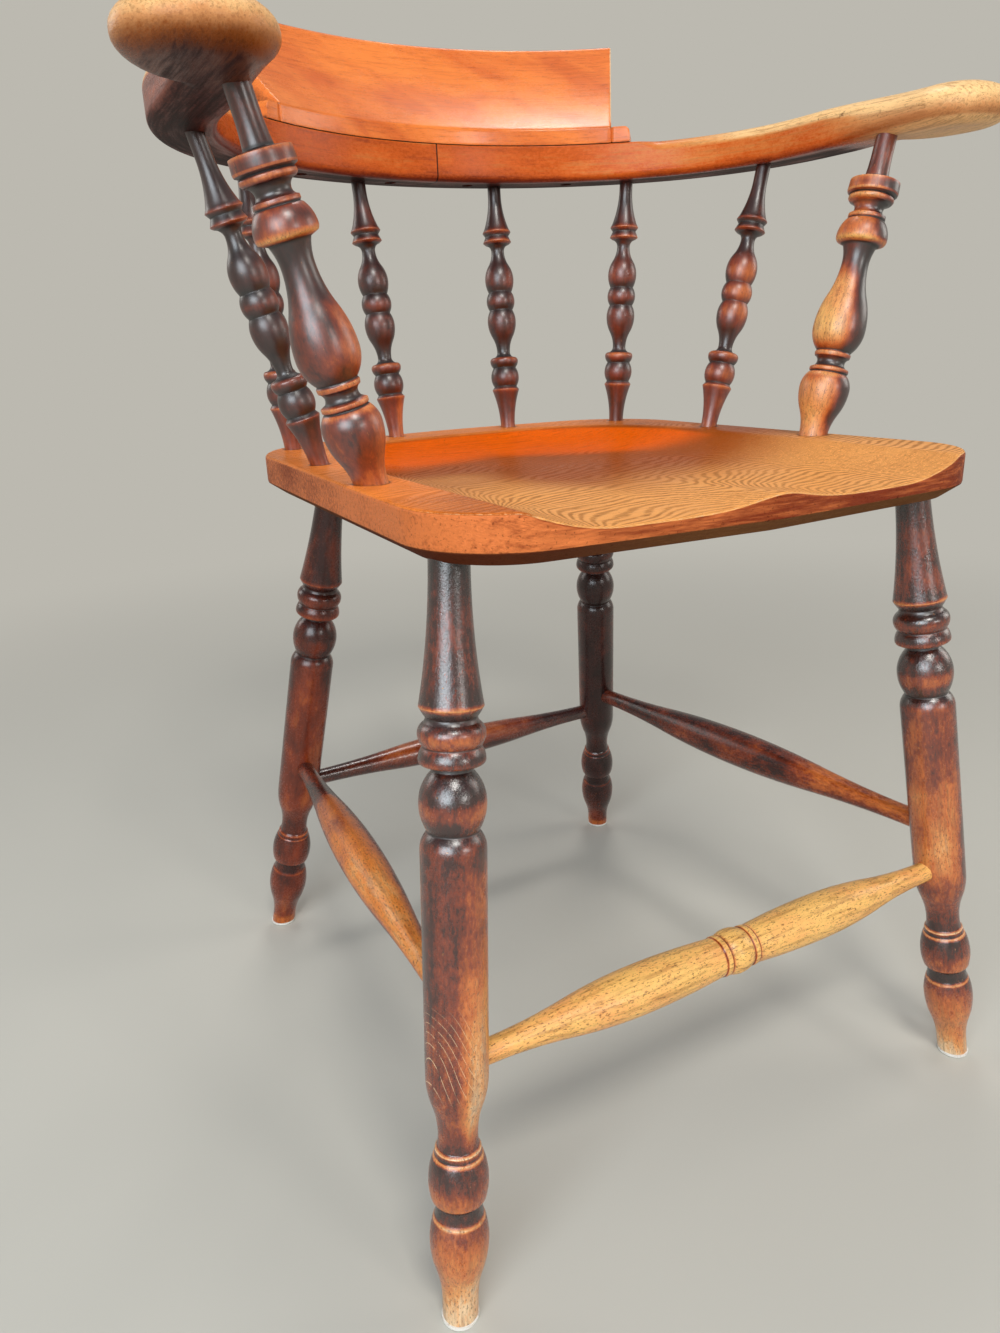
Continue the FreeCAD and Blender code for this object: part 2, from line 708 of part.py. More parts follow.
seat_tools = [saddle_tool()]
for place, (foot, top) in leg_axes.items():
    seat_bores.append(socket("leg_%s_bore" % place, leg_top_width, leg_tips[place], foot))
for bore in seat_bores:
    other_side = doc.addObject("Part::Mirroring", bore.Name + "_left")
    other_side.Source = bore
    other_side.Normal = VECTOR(1, 0, 0)
    seat_tools += [bore, other_side]
seat_piece = seat_blank()
for index, seat_cutter in enumerate(seat_tools):
    seat_piece = cut("seat_cut_%d" % index, seat_piece, [seat_cutter])
keep(seat_piece, "seat")


# Bow: the right half, from the centre joint round the shoulder to the paddle.
bow_top = size("bow_underside") + size("bow_thickness")
back_radius = size("bow_back_radius")
back_centre = (0, size("bow_back_centre"))
shoulder = math.radians(size("bow_shoulder_angle"))
shoulder_radius = (size("arm_centre_out") - back_radius * math.sin(shoulder)) / (1 - math.sin(shoulder))
shoulder_centre = (
    (back_radius - shoulder_radius) * math.sin(shoulder),
    back_centre[1] + (back_radius - shoulder_radius) * math.cos(shoulder),
)


def on_back_arc(angle, offset=0):
    """Plan point of the bow's back arc at an angle from the middle, in degrees."""
    turn = math.radians(angle)
    radius = back_radius + offset
    return radius * math.sin(turn), back_centre[1] + radius * math.cos(turn)


class BowOutline(Outline):
    """An outline whose corners are worked out from the bow's driving sizes."""

    def hold(self, piece, corner, place):
        across = enter(worked_sheet, corner + "_x", place[0])
        along = enter(worked_sheet, corner + "_y", place[1])
        self.pin((piece[0], piece[2]), across, along)

    def held_line(self, first, second, corner):
        self.hold(self.line(first, second), corner, second)

    def held_arc(self, first, second, centre, corner):
        piece = self.arc(first, second, centre)
        radius = math.dist(first, centre)
        radius_cell = enter(worked_sheet, corner + "_radius", radius)
        self.bind(Sketcher.Constraint("Radius", piece[0], radius), radius_cell[1])
        self.hold(piece, corner, second)


def arm_blank():
    body = doc.addObject("PartDesign::Body", "arm_blank")
    outline = BowOutline(new_sketch(body, "arm_outline", "XY_Plane"))
    half_width = size("bow_width") / 2
    inside = size("arm_centre_out") - half_width
    outside = size("arm_centre_out") + half_width
    angle = size("bow_shoulder_angle")
    radius = size("paddle_radius")
    notch = size("paddle_notch_radius")
    paddle = (inside + radius, size("paddle_centre_reach"))
    notch_x = outside + notch
    notch_y = paddle[1] + math.sqrt((radius + notch) ** 2 - (notch_x - paddle[0]) ** 2)
    share = radius / (radius + notch)
    meeting = (paddle[0] + share * (notch_x - paddle[0]), paddle[1] + share * (notch_y - paddle[1]))
    inner_joint = on_back_arc(0, -half_width)
    outer_joint = on_back_arc(0, half_width)
    inner_turn = on_back_arc(angle, -half_width)
    outer_turn = on_back_arc(angle, half_width)
    front = (paddle[0], paddle[1] - radius)
    outline.held_line(outer_joint, inner_joint, "inner_joint")
    outline.held_arc(inner_joint, inner_turn, back_centre, "inner_turn")
    outline.held_arc(inner_turn, (inside, shoulder_centre[1]), shoulder_centre, "inner_shoulder")
    outline.held_line((inside, shoulder_centre[1]), (inside, paddle[1]), "inner_paddle")
    outline.held_arc((inside, paddle[1]), front, paddle, "paddle_front")
    outline.held_arc(front, (paddle[0] + radius, paddle[1]), paddle, "paddle_side")
    outline.held_arc((paddle[0] + radius, paddle[1]), meeting, paddle, "paddle_back")
    outline.held_arc(meeting, (outside, notch_y), (notch_x, notch_y), "notch")
    outline.held_line((outside, notch_y), (outside, shoulder_centre[1]), "outer_arm")
    outline.held_arc((outside, shoulder_centre[1]), outer_turn, shoulder_centre, "outer_shoulder")
    outline.held_arc(outer_turn, outer_joint, back_centre, "outer_joint")
    outline.constraints.append(Sketcher.Constraint("Coincident", *outline.last_end, 0, 1))
    outline.finish()
    plank = body.newObject("PartDesign::Pad", "arm_plank")
    plank.Profile = outline.sketch
    plank.setExpression("Length", "Sizes.bow_thickness")
    body.Placement = FreeCAD.Placement(VECTOR(0, 0, size("bow_underside")), FreeCAD.Rotation())
    doc.recompute()
    return body, notch_y


def ease_arm(body, notch_y):
    """Round the arm's long edges, more fully round the paddle than along the arm."""
    eased = doc.addObject("Part::Fillet", "arm_eased")
    eased.Base = body
    rounds = {
        size("bow_underside"): (size("arm_under_round"), size("paddle_under_round")),
        bow_top: (size("arm_top_round"), size("paddle_top_round")),
    }
    edges = []
    for height, (arm_round, paddle_round) in rounds.items():
        for name in edges_at_height(body.Shape, height):
            edge = body.Shape.getElement(name)
            if edge.BoundBox.XMax < 1e-4:
                continue
            ends = [edge.valueAt(edge.FirstParameter), edge.valueAt(edge.LastParameter)]
            radii = [paddle_round if end.y < notch_y - 1 else arm_round for end in ends]
            edges.append((int(name[4:]), *radii))
    eased.Edges = edges
    return eased


def crest_land():
    """Square-edged land on top of the bow that the crest stands on."""
    body = doc.addObject("PartDesign::Body", "crest_land")
    sketch = new_sketch(body, "land_outline", "XY_Plane")
    sketch.setExpression("AttachmentOffset.Base.z", "Sizes.bow_thickness / 2")
    outline = BowOutline(sketch)
    half_width = size("bow_width") / 2
    angle = size("crest_land_angle")
    inner = (on_back_arc(0, -half_width), on_back_arc(angle, -half_width))
    outer = (on_back_arc(0, half_width), on_back_arc(angle, half_width))
    outline.held_line(outer[0], inner[0], "land_inner_joint")
    outline.held_arc(*inner, back_centre, "land_inner_end")
    outline.held_line(inner[1], outer[1], "land_outer_end")
    outline.held_arc(*reversed(outer), back_centre, "land_outer_joint")
    outline.constraints.append(Sketcher.Constraint("Coincident", *outline.last_end, 0, 1))
    outline.finish()
    land = body.newObject("PartDesign::Pad", "land")
    land.Profile = sketch
    land.setExpression("Length", "Sizes.bow_thickness / 2")
    body.Placement = FreeCAD.Placement(VECTOR(0, 0, size("bow_underside")), FreeCAD.Rotation())
    return body


def screw_places():
    angles = [side * size(name) for name in ("screw_inner_angle", "screw_outer_angle") for side in (1, -1)]
    return [on_back_arc(angle) for angle in angles]


def stepped_cylinder(name, place, bottom, steps):
    """Stacked upright cylinders, each a radius and a height expression, from a bottom height up."""
    pieces = []
    for index, (radius, lift, height) in enumerate(steps):
        step = doc.addObject("Part::Cylinder", "%s_%d" % (name, index))
        step.setExpression("Radius", radius)
        step.setExpression("Height", height)
        step.Placement = FreeCAD.Placement(VECTOR(*place, bottom + lift), FreeCAD.Rotation())
        pieces.append(step)
    return pieces


def screw_bores():
    """Counterbores and shank holes up through the bow for the screws of one half."""
    steps = (
        ("Sizes.screw_bore_diameter / 2", 0, "Sizes.screw_bore_depth"),
        ("Sizes.screw_shank_diameter / 2 + Sizes.joint_clearance", 0, "Sizes.bow_thickness"),
    )
    tools = []
    for index, place in enumerate(screw_places()):
        if place[0] > 0:
            tools += stepped_cylinder("bow_screw_bore_%d" % index, place, size("bow_underside"), steps)
    return tools


def dowel_cylinder(name, clearance, end_gap, offset):
    dowel = doc.addObject("Part::Cylinder", name)
    dowel.setExpression("Radius", "Sizes.dowel_diameter / 2" + clearance)
    dowel.setExpression("Height", "Sizes.dowel_length" + end_gap)
    doc.recompute()
    middle = VECTOR(0, on_back_arc(0, offset)[1], size("bow_underside") + size("bow_thickness") / 2)
    start = middle - VECTOR(dowel.Height.Value / 2, 0, 0)
    dowel.Placement = along_axis(start, middle)
    return dowel


dowel_offsets = (-size("dowel_spacing") / 2, size("dowel_spacing") / 2)
dowel_bores = [
    dowel_cylinder("dowel_bore_%d" % index, " + Sizes.joint_clearance",
                   " + 2 * Sizes.socket_end_gap", offset)
    for index, offset in enumerate(dowel_offsets)
]
arm_shape = doc.addObject("Part::Fuse", "arm_with_land")
arm_shape.Base = ease_arm(*arm_blank())
arm_shape.Tool = crest_land()
for index, arm_cutter in enumerate(bow_bores + screw_bores() + dowel_bores):
    arm_shape = cut("arm_cut_%d" % index, arm_shape, [arm_cutter])
keep(arm_shape, "arm_right")
mirrored(arm_shape, "arm_left")
dowels = doc.addObject("Part::Compound", "arm_joint_dowels")
dowels.Links = [
    dowel_cylinder("dowel_%d" % index, "", "", offset) for index, offset in enumerate(dowel_offsets)
]
keep(dowels, "arm_joint_dowels")


# Crest: turned about the bow's back centre, with a low foot that runs past each end.
def sweep_section(body, name, corners, hollow, half_angle):
    """Turn an upright section about the bow's back centre, evenly to both sides."""
    outline = BowOutline(new_sketch(body, name + "_section", "YZ_Plane"))
    for index, corner in enumerate(corners):
        before = corners[index - 1]
        label = "%s_corner_%d" % (name, index)
        if hollow and index == 2:
            chord = VECTOR(corner[0] - before[0], corner[1] - before[1], 0)
            radius = (chord.Length ** 2 / 4 + hollow ** 2) / (2 * hollow)
            aside = VECTOR(-chord.y, chord.x, 0).normalize() * (radius - hollow)
            centre = ((before[0] + corner[0]) / 2 + aside.x, (before[1] + corner[1]) / 2 + aside.y)
            outline.held_arc(before, corner, centre, label)
        else:
            outline.held_line(before, corner, label)
    outline.constraints.append(Sketcher.Constraint("Coincident", *outline.last_end, 0, 1))
    outline.finish()
    sweep = body.newObject("PartDesign::Revolution", name)
    sweep.Profile = outline.sketch
    sweep.ReferenceAxis = (outline.sketch, ["V_Axis"])
    sweep.Midplane = True
    sweep.setExpression("Angle", "2 * Sizes." + half_angle)
    return sweep


def crest_body():
    body = doc.addObject("PartDesign::Body", "crest")
    face = back_radius - size("bow_width") / 2
    back = face + size("crest_base_depth")
    foot = size("crest_foot_height")
    top = size("crest_height")
    top_face = face + size("crest_lean")
    top_back = top_face + size("crest_top_thickness")
    section = [(face, 0), (face, foot), (top_face, top), (top_back, top), (back, 0)]
    sweep_section(body, "crest_rise", section, size("crest_hollow"), "crest_half_angle")
    foot_section = [(face, 0), (face, foot), (back, foot), (back, 0)]
    rise = sweep_section(body, "crest_foot", foot_section, 0, "crest_foot_half_angle")
    doc.recompute()
    ease = body.newObject("PartDesign::Fillet", "crest_foot_easing")
    ease.Base = (rise, foot_end_edges(rise.Shape, foot))
    ease.setExpression("Radius", "Sizes.crest_foot_round")
    doc.recompute()
    crown = body.newObject("PartDesign::Fillet", "crest_top_easing")
    crown.Base = (ease, edges_at_height(ease.Shape, top))
    crown.setExpression("Radius", "Sizes.crest_top_round")
    body.Placement = FreeCAD.Placement(VECTOR(*back_centre, bow_top), FreeCAD.Rotation())
    return body


def foot_end_edges(shape, height):
    """The level edges at the two ends of the crest's foot."""
    ends = []
    for name in edges_at_height(shape, height):
        middle = shape.getElement(name).CenterOfMass
        angle = math.degrees(math.atan2(abs(middle.x), middle.y))
        if abs(angle - size("crest_foot_half_angle")) < 0.5:
            ends.append(name)
    return ends


def crest_screw(index, place):
    """A countersunk screw standing in its counterbore under the bow."""
    start = size("bow_underside") + size("screw_bore_depth")
    head = doc.addObject("Part::Cone", "screw_head_%d" % index)
    head.setExpression("Radius1", "Sizes.screw_head_diameter / 2")
    head.setExpression("Radius2", "Sizes.screw_shank_diameter / 2")
    head.setExpression("Height", "Sizes.screw_head_height")
    head.Placement = FreeCAD.Placement(VECTOR(*place, start - size("screw_head_height")), FreeCAD.Rotation())
    shank = doc.addObject("Part::Cylinder", "screw_shank_%d" % index)
    shank.setExpression("Radius", "Sizes.screw_shank_diameter / 2")
    shank.setExpression("Height", "Sizes.screw_length")
    shank.Placement = FreeCAD.Placement(VECTOR(*place, start), FreeCAD.Rotation())
    screw = doc.addObject("Part::Fuse", "screw_%d" % index)
    screw.Base = head
    screw.Tool = shank
    return screw


crest_shape = crest_body()
crest_step = (
    ("Sizes.screw_shank_diameter / 2 + Sizes.joint_clearance", 0,
     "Sizes.screw_bore_depth + Sizes.screw_length + Sizes.socket_end_gap"),
)
for index, place in enumerate(screw_places()):
    bore = stepped_cylinder("crest_screw_bore_%d" % index, place, size("bow_underside"), crest_step)
    crest_shape = cut("crest_cut_%d" % index, crest_shape, bore)
keep(crest_shape, "crest_rail")
screws = doc.addObject("Part::Compound", "crest_screws")
screws.Links = [crest_screw(index, place) for index, place in enumerate(screw_places())]
keep(screws, "crest_screws")

doc.recompute()
for item in doc.Objects:
    if "Invalid" in item.State or "Error" in item.State:
        raise RuntimeError("%s did not build: %s" % (item.Label, item.State))
for node in nodes:
    if node.Shape.isNull() or not node.Shape.isValid():
        raise RuntimeError("%s has no valid shape" % node.Label)

os.makedirs("parts", exist_ok=True)
for node in nodes:
    node.Shape.exportStep("parts/%s.step" % node.Label)
    print("%-26s %9.0f cubic mm, %d solid(s)" % (node.Label, node.Shape.Volume, len(node.Shape.Solids)))
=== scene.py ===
import math

import bmesh
import bpy
import numpy as np
from bpy.props import FloatProperty, FloatVectorProperty, IntProperty, PointerProperty
from mathutils import Matrix, Vector


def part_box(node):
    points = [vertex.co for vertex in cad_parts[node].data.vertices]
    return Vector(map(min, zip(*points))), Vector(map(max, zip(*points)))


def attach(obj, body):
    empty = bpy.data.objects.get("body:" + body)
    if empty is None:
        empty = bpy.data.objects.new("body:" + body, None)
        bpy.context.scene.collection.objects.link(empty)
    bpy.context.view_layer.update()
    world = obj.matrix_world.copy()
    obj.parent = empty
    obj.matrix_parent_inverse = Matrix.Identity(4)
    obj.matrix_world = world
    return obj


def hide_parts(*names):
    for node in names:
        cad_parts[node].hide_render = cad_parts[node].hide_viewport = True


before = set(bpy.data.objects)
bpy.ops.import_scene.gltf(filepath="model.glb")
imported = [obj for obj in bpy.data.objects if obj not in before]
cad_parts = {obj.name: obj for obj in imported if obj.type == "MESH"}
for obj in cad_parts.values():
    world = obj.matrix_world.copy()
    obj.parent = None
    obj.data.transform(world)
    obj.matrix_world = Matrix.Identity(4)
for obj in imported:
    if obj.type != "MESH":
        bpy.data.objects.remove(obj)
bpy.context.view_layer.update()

bl_info = {
    "name": "Windsor captains chair",
    "version": (1, 0, 0),
    "blender": (4, 5, 0),
    "location": "View3D > Sidebar > Chair",
    "description": "Old turned armchair with a saddled seat, a bow of arms and a leaning crest",
    "category": "Add Mesh",
}

# Lengths below are in millimetres and become metres when a mesh is made. X runs across the
# chair, Y to its back and Z up from the floor. Right-hand pieces are mirrored to the left.
MM = 0.001
SEAT_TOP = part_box("seat")[1].z / MM
SEAT_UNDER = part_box("seat")[0].z / MM
BOW_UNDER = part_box("arm_right")[0].z / MM
BOW_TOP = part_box("arm_right")[1].z / MM
CREST_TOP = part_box("crest_rail")[1].z / MM

# Turnings: distance along the axis, diameter and kind of each station. An edge is a corner, and
# at a crest the outline runs along the axis.
LEG_TURNING = (
    (0, 22, "edge"), (14, 22.4, "crest"), (56, 36.4, "crest"), (71, 31.6, "edge"),
    (73, 29.4, "edge"), (80.5, 27.6, "edge"), (84, 33.6, "edge"), (95.5, 36.8, "crest"),
    (112.5, 30.2, "edge"), (113.4, 28.6, "edge"), (116.8, 28.2, "edge"), (118.6, 25, "edge"),
    (126, 24.2, "crest"), (165, 37.8, "shaft"), (304, 38.4, "shaft"), (314.6, 29.6, "edge"),
    (331, 38.8, "crest"), (350, 22.6, "edge"), (352.4, 22.6, "edge"), (353.4, 33, "edge"),
    (356, 38.4, "crest"), (363.8, 33, "edge"), (371, 38.6, "crest"), (377.4, 31, "edge"),
    (379.8, 29, "edge"), (383, 33.2, "edge"), (386.2, 36.8, "edge"),
)
LEG_TOP_WIDTH = 23
SPINDLE_TURNING = (
    (0, 13.2, "shaft"), (33.6, 25, "edge"), (36.4, 20.6, "edge"), (44.8, 25.8, "crest"),
    (53.4, 20.6, "edge"), (59.4, 25.8, "crest"), (62.4, 21.6, "edge"), (67.2, 11.8, "crest"),
    (94.6, 26, "crest"), (104.4, 20.8, "edge"), (112.2, 25.7, "crest"), (120, 20.8, "edge"),
    (130.8, 26, "crest"), (155.4, 11.4, "crest"), (161.4, 21.4, "edge"), (163, 25.6, "edge"),
    (168.2, 20.8, "edge"), (171.4, 25.6, "edge"), (174.2, 22.4, "edge"), (203, 11.6, "shaft"),
)
SUPPORT_TURNING = (
    (0, 21, "shaft"), (35, 37.2, "crest"), (45.6, 29.2, "edge"), (46.6, 26.8, "edge"),
    (47.6, 29, "edge"), (49.8, 29, "edge"), (51.4, 22.6, "edge"), (54.6, 20.4, "crest"),
    (58.4, 26, "edge"), (61, 26.8, "edge"), (62.4, 24.8, "edge"), (79, 38.4, "crest"),
    (127, 19.4, "crest"), (139.6, 24.6, "edge"), (141.6, 34.6, "edge"), (144.8, 36.8, "crest"),
    (156.6, 28.4, "edge"), (157.6, 25.2, "edge"), (158.6, 27, "edge"), (161, 26.8, "edge"),
    (164.6, 20.4, "crest"), (169.8, 30.2, "edge"), (171.4, 32.6, "edge"), (173.2, 32.4, "edge"),
    (174.4, 30, "edge"), (175.6, 35.4, "edge"), (177, 36.4, "edge"), (184.4, 35.6, "edge"),
    (186, 17.4, "edge"), (204, 14.9, "shaft"),
)
# Stretchers are alike about their middle: distances are from the middle outwards.
FRONT_STRETCHER_TURNING = (
    (0, 31, "crest"), (9.4, 26.4, "edge"), (10.4, 28, "edge"), (13.4, 28, "edge"),
    (14.8, 26.6, "edge"), (76, 32, "crest"),
)
RING_LINES = (9.7, 14.5)
SIDE_STRETCHER_TURNING = ((0, 33, "crest"),)
BACK_STRETCHER_TURNING = ((0, 29, "crest"),)
PAD_TURNING = ((0, 21.4, "edge"), (0.9, 23.4, "edge"), (3, 23.4, "edge"))

# Axes, from the foot of each turned piece to its top.
PAD_THICKNESS = 3
LEG_AXES = {
    "front": ((227, -240, 0), (179.5, -182.5, SEAT_UNDER)),
    "back": ((198, 240, 0), (132, 145, SEAT_UNDER)),
}
SPINDLE_AXES = {
    "arm_support": ((183, -84, SEAT_TOP), (238, -83, BOW_UNDER)),
    "spindle_side": ((177, 32, SEAT_TOP), (234, 40, BOW_UNDER)),
    "spindle_corner": ((161, 149.5, SEAT_TOP), (175, 154, BOW_UNDER)),
    "spindle_back": ((57, 178, SEAT_TOP), (65, 204, BOW_UNDER)),
}

# Plan of the bow: a back arc, a tighter shoulder and a straight arm with a round paddle.
BACK_CENTRE = (0.0, -78.0)
BACK_RADIUS = 282.0
BOW_HALF_WIDTH = 21.0
SHOULDER_TURN = math.radians(38)
ARM_OUT = 246.0
PADDLE_RADIUS = 39.0
PADDLE_REACH = -117.0
PADDLE_CENTRE = ARM_OUT - BOW_HALF_WIDTH + PADDLE_RADIUS
NOTCH_RADIUS = 10.0
SHOULDER_RADIUS = (ARM_OUT - BACK_RADIUS * math.sin(SHOULDER_TURN)) / (1 - math.sin(SHOULDER_TURN))
SHOULDER_CENTRE = (
    (BACK_RADIUS - SHOULDER_RADIUS) * math.sin(SHOULDER_TURN),
    BACK_CENTRE[1] + (BACK_RADIUS - SHOULDER_RADIUS) * math.cos(SHOULDER_TURN),
)
BACK_RUN = BACK_RADIUS * SHOULDER_TURN
SHOULDER_RUN = BACK_RUN + SHOULDER_RADIUS * (math.pi / 2 - SHOULDER_TURN)
PADDLE_RUN = SHOULDER_RUN + SHOULDER_CENTRE[1] - PADDLE_REACH
LAND_ANGLE = 38.6
SCREW_ANGLES = (7.5, 26)


def shade(code):
    """Linear colour of a six-digit screen colour."""
    parts = [int(code[index:index + 2], 16) / 255 for index in (0, 2, 4)]
    return tuple(part / 12.92 if part < 0.04045 else ((part + 0.055) / 1.055) ** 2.4 for part in parts)


def colour_property(label, note, code):
    """A colour setting with its first value as a screen colour."""
    return FloatVectorProperty(name=label, description=note, subtype="COLOR", size=3,
                               min=0, max=1, default=shade(code))


def length_property(label, note, value, low, high):
    """A length setting in metres with its first value and its limits."""
    return FloatProperty(name=label, description=note, default=value, min=low, max=high, precision=5,
                         unit="LENGTH")


class ChairSizes(bpy.types.PropertyGroup):
    """Sizes of the finish that leave the chair's joints where they are"""
    turned_sides: IntProperty(
        name="Turned sides", description="Facets round a turned piece", default=64, min=24, max=128)
    turned_softness: length_property(
        "Turned softness", "How far years of handling have softened the turned corners",
        0.0002, 0.0001, 0.002)
    turned_wobble: length_property(
        "Turned wobble", "Unevenness of the hand-turned surfaces", 0.00015, 0, 0.002)
    seat_edge: length_property("Seat edge", "Round of the seat's top edge", 0.0028, 0.0005, 0.006)
    paddle_dome: length_property(
        "Paddle dome", "Height of the domed edge round the hand rests", 0.0155, 0.005, 0.018)
    ring_width: length_property("Growth rings", "Width of a growth ring in the seat", 0.0006, 0.0002, 0.02)


class ChairColours(bpy.types.PropertyGroup):
    """Colours of the wood, its old varnish and the stage"""
    # The grime colour also serves as painted shade in grooves, joints and creases.
    grime: colour_property("Grime", "Darkest old varnish in the grooves", "150b0a")
    dark_varnish: colour_property("Dark varnish", "Old dark varnish on the turnings", "3a1914")
    red_varnish: colour_property("Red varnish", "Thinner varnish that glows red", "7e3219")
    rubbed: colour_property("Rubbed varnish", "Varnish rubbed thin to orange", "c06428")
    worn: colour_property("Worn wood", "Wood worn through the varnish", "dc9450")
    bare: colour_property("Bare wood", "Pale wood where the varnish is gone", "e8c498")
    gold: colour_property("Golden stretcher", "Worn front stretcher", "f0ba68")
    honey: colour_property("Honey stretcher", "Worn tops of the side stretchers", "eca660")
    amber: colour_property("Amber stretcher", "Half-worn side stretchers", "e2842e")
    # Seat golden and seat rim also serve as painted sheen on the top, and seat side is lightened as painted
    # sheen on the front left wall.
    seat_brown: colour_property("Seat middle", "Worn middle of the saddle", "a04c0e")
    seat_orange: colour_property("Seat cove", "Glossy back of the saddle", "f86802")
    seat_golden: colour_property("Seat front", "Pale front of the saddle", "eca45c")
    seat_rim: colour_property("Seat rim", "Rim round the saddle", "f48a3c")
    seat_side: colour_property("Seat side", "Sides of the seat", "dc7a42")
    bow_orange: colour_property("Bow", "Inner faces of the bow", "c65a1e")
    hand_brown: colour_property("Hand brown", "Half-worn wood under the hands", "8c4c22")
    hand_tan: colour_property("Hand tan", "Worn wood under the hands", "cc8e5a")
    arm_tan: colour_property("Arm tops", "Worn tops of the arms", "f0c488")
    crest_amber: colour_property("Crest", "Face of the crest", "e67f38")
    crest_figure: colour_property("Crest figure", "Darker figure in the crest", "c65c24")
    pad: colour_property("Foot pads", "Pads under the feet", "e6e3dc")
    steel: colour_property("Screws", "Crest screws", "8f8a80")
    backdrop: colour_property("Backdrop", "Background", "bcb9b0")
    floor: colour_property("Floor", "Floor near the chair", "c1beb5")


def sizes():
    """The scene's sizes."""
    return bpy.context.scene.chair_sizes


def colours():
    """The scene's colours."""
    return bpy.context.scene.chair_colours


# Small helpers for meshes.
def smooth_step(value, low, high):
    """Nothing below low, one above high and a soft step between them."""
    part = np.clip((np.asarray(value, float) - low) / (high - low), 0, 1)
    return part * part * (3 - 2 * part)


def bell_smooth(values, width, closed=False):
    """Smooth rows of evenly spaced points with a bell of the given width in steps."""
    reach = min(max(1, math.ceil(3 * width)), len(values) - 1)
    bell = np.exp(-0.5 * (np.arange(-reach, reach + 1) / width) ** 2)
    bell /= bell.sum()
    columns = []
    for column in np.atleast_2d(np.asarray(values, float).T):
        if closed:
            padded = np.concatenate((column[-reach:], column, column[:reach]))
        else:
            before = 2 * column[0] - column[reach:0:-1]
            after = 2 * column[-1] - column[-2:-reach - 2:-1]
            padded = np.concatenate((before, column, after))
        columns.append(np.convolve(padded, bell, "valid"))
    return np.array(columns).T


def even_points(line, step, closed=False):
    """Points at even steps along a line of points."""
    line = np.asarray(line, float)
    if closed:
        line = np.vstack((line, line[:1]))
    gaps = np.linalg.norm(np.diff(line, axis=0), axis=1)
    run = np.concatenate(([0], np.cumsum(gaps)))
    count = max(2, round(run[-1] / step))
    places = np.linspace(0, run[-1], count + 1)
    if closed:
        places = places[:-1]
    return np.column_stack([np.interp(places, run, column) for column in line.T])


def grid_faces(rows, columns, closed=False):
    """Quads between rows of points, each row joined to the next."""
    quads_across = columns if closed else columns - 1
    row, column = np.meshgrid(np.arange(rows - 1), np.arange(quads_across), indexing="ij")
    after = (column + 1) % columns
    quads = np.stack((row * columns + column, row * columns + after,
                      (row + 1) * columns + after, (row + 1) * columns + column), -1)
    return quads.reshape(-1, 4).tolist()


def new_piece(name, data):
    """A new object in the scene."""
    piece = bpy.data.objects.new(name, data)
    bpy.context.scene.collection.objects.link(piece)
    return piece


def mesh_points(mesh):
    """A mesh's points in millimetres."""
    points = np.empty(len(mesh.vertices) * 3, np.float32)
    mesh.vertices.foreach_get("co", points)
    return points.reshape(-1, 3).astype(float) / MM


def set_points(mesh, points):
    """Move a mesh's points to places in millimetres."""
    mesh.vertices.foreach_set("co", np.ascontiguousarray(points * MM, np.float32).ravel())
    mesh.update()


def point_normals(mesh):
    """The outward direction at each point."""
    normals = np.empty(len(mesh.vertices) * 3, np.float32)
    mesh.vertex_normals.foreach_get("vector", normals)
    return normals.reshape(-1, 3).astype(float)


def paint(mesh, **layers):
    """Store a number or a vector for each point, for the finishes to read."""
    for name, values in layers.items():
        values = np.ascontiguousarray(values, np.float32)
        kind, field = ("FLOAT", "value") if values.ndim == 1 else ("FLOAT_VECTOR", "vector")
        mesh.attributes.new(name, kind, "POINT").data.foreach_set(field, values.ravel())


def close_mesh(mesh, sharp=None):
    """Weld touching points, turn the faces outwards and shade them smooth."""
    work = bmesh.new()
    work.from_mesh(mesh)
    bmesh.ops.remove_doubles(work, verts=work.verts, dist=2e-6)
    bmesh.ops.dissolve_degenerate(work, edges=work.edges, dist=1e-6)
    if work.calc_volume(signed=True) < 0:
        bmesh.ops.reverse_faces(work, faces=work.faces)
    for face in work.faces:
        face.smooth = True
    work.to_mesh(mesh)
    work.free()
    if sharp:
        mesh.set_sharp_from_angle(angle=math.radians(sharp))
    mesh.update()


def solid_mesh(name, points, faces, sharp=None):
    """A closed mesh from points in millimetres and faces."""
    mesh = bpy.data.meshes.new(name)
    mesh.from_pydata((np.asarray(points) * MM).tolist(), [], faces)
    close_mesh(mesh, sharp)
    return mesh


def plain_mesh(piece):
    """Turn a piece with modifiers into a plain mesh and remove them."""
    graph = bpy.context.evaluated_depsgraph_get()
    mesh = bpy.data.meshes.new_from_object(piece.evaluated_get(graph), depsgraph=graph)
    piece.modifiers.clear()
    piece.data = mesh
    return mesh


def settle(piece, finish, slot, *nodes):
    """Give a finished piece its material, its body and the nodes that it stands for."""
    piece.data.materials.clear()
    piece.data.materials.append(finish)
    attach(piece, "root")
    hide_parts(*nodes)


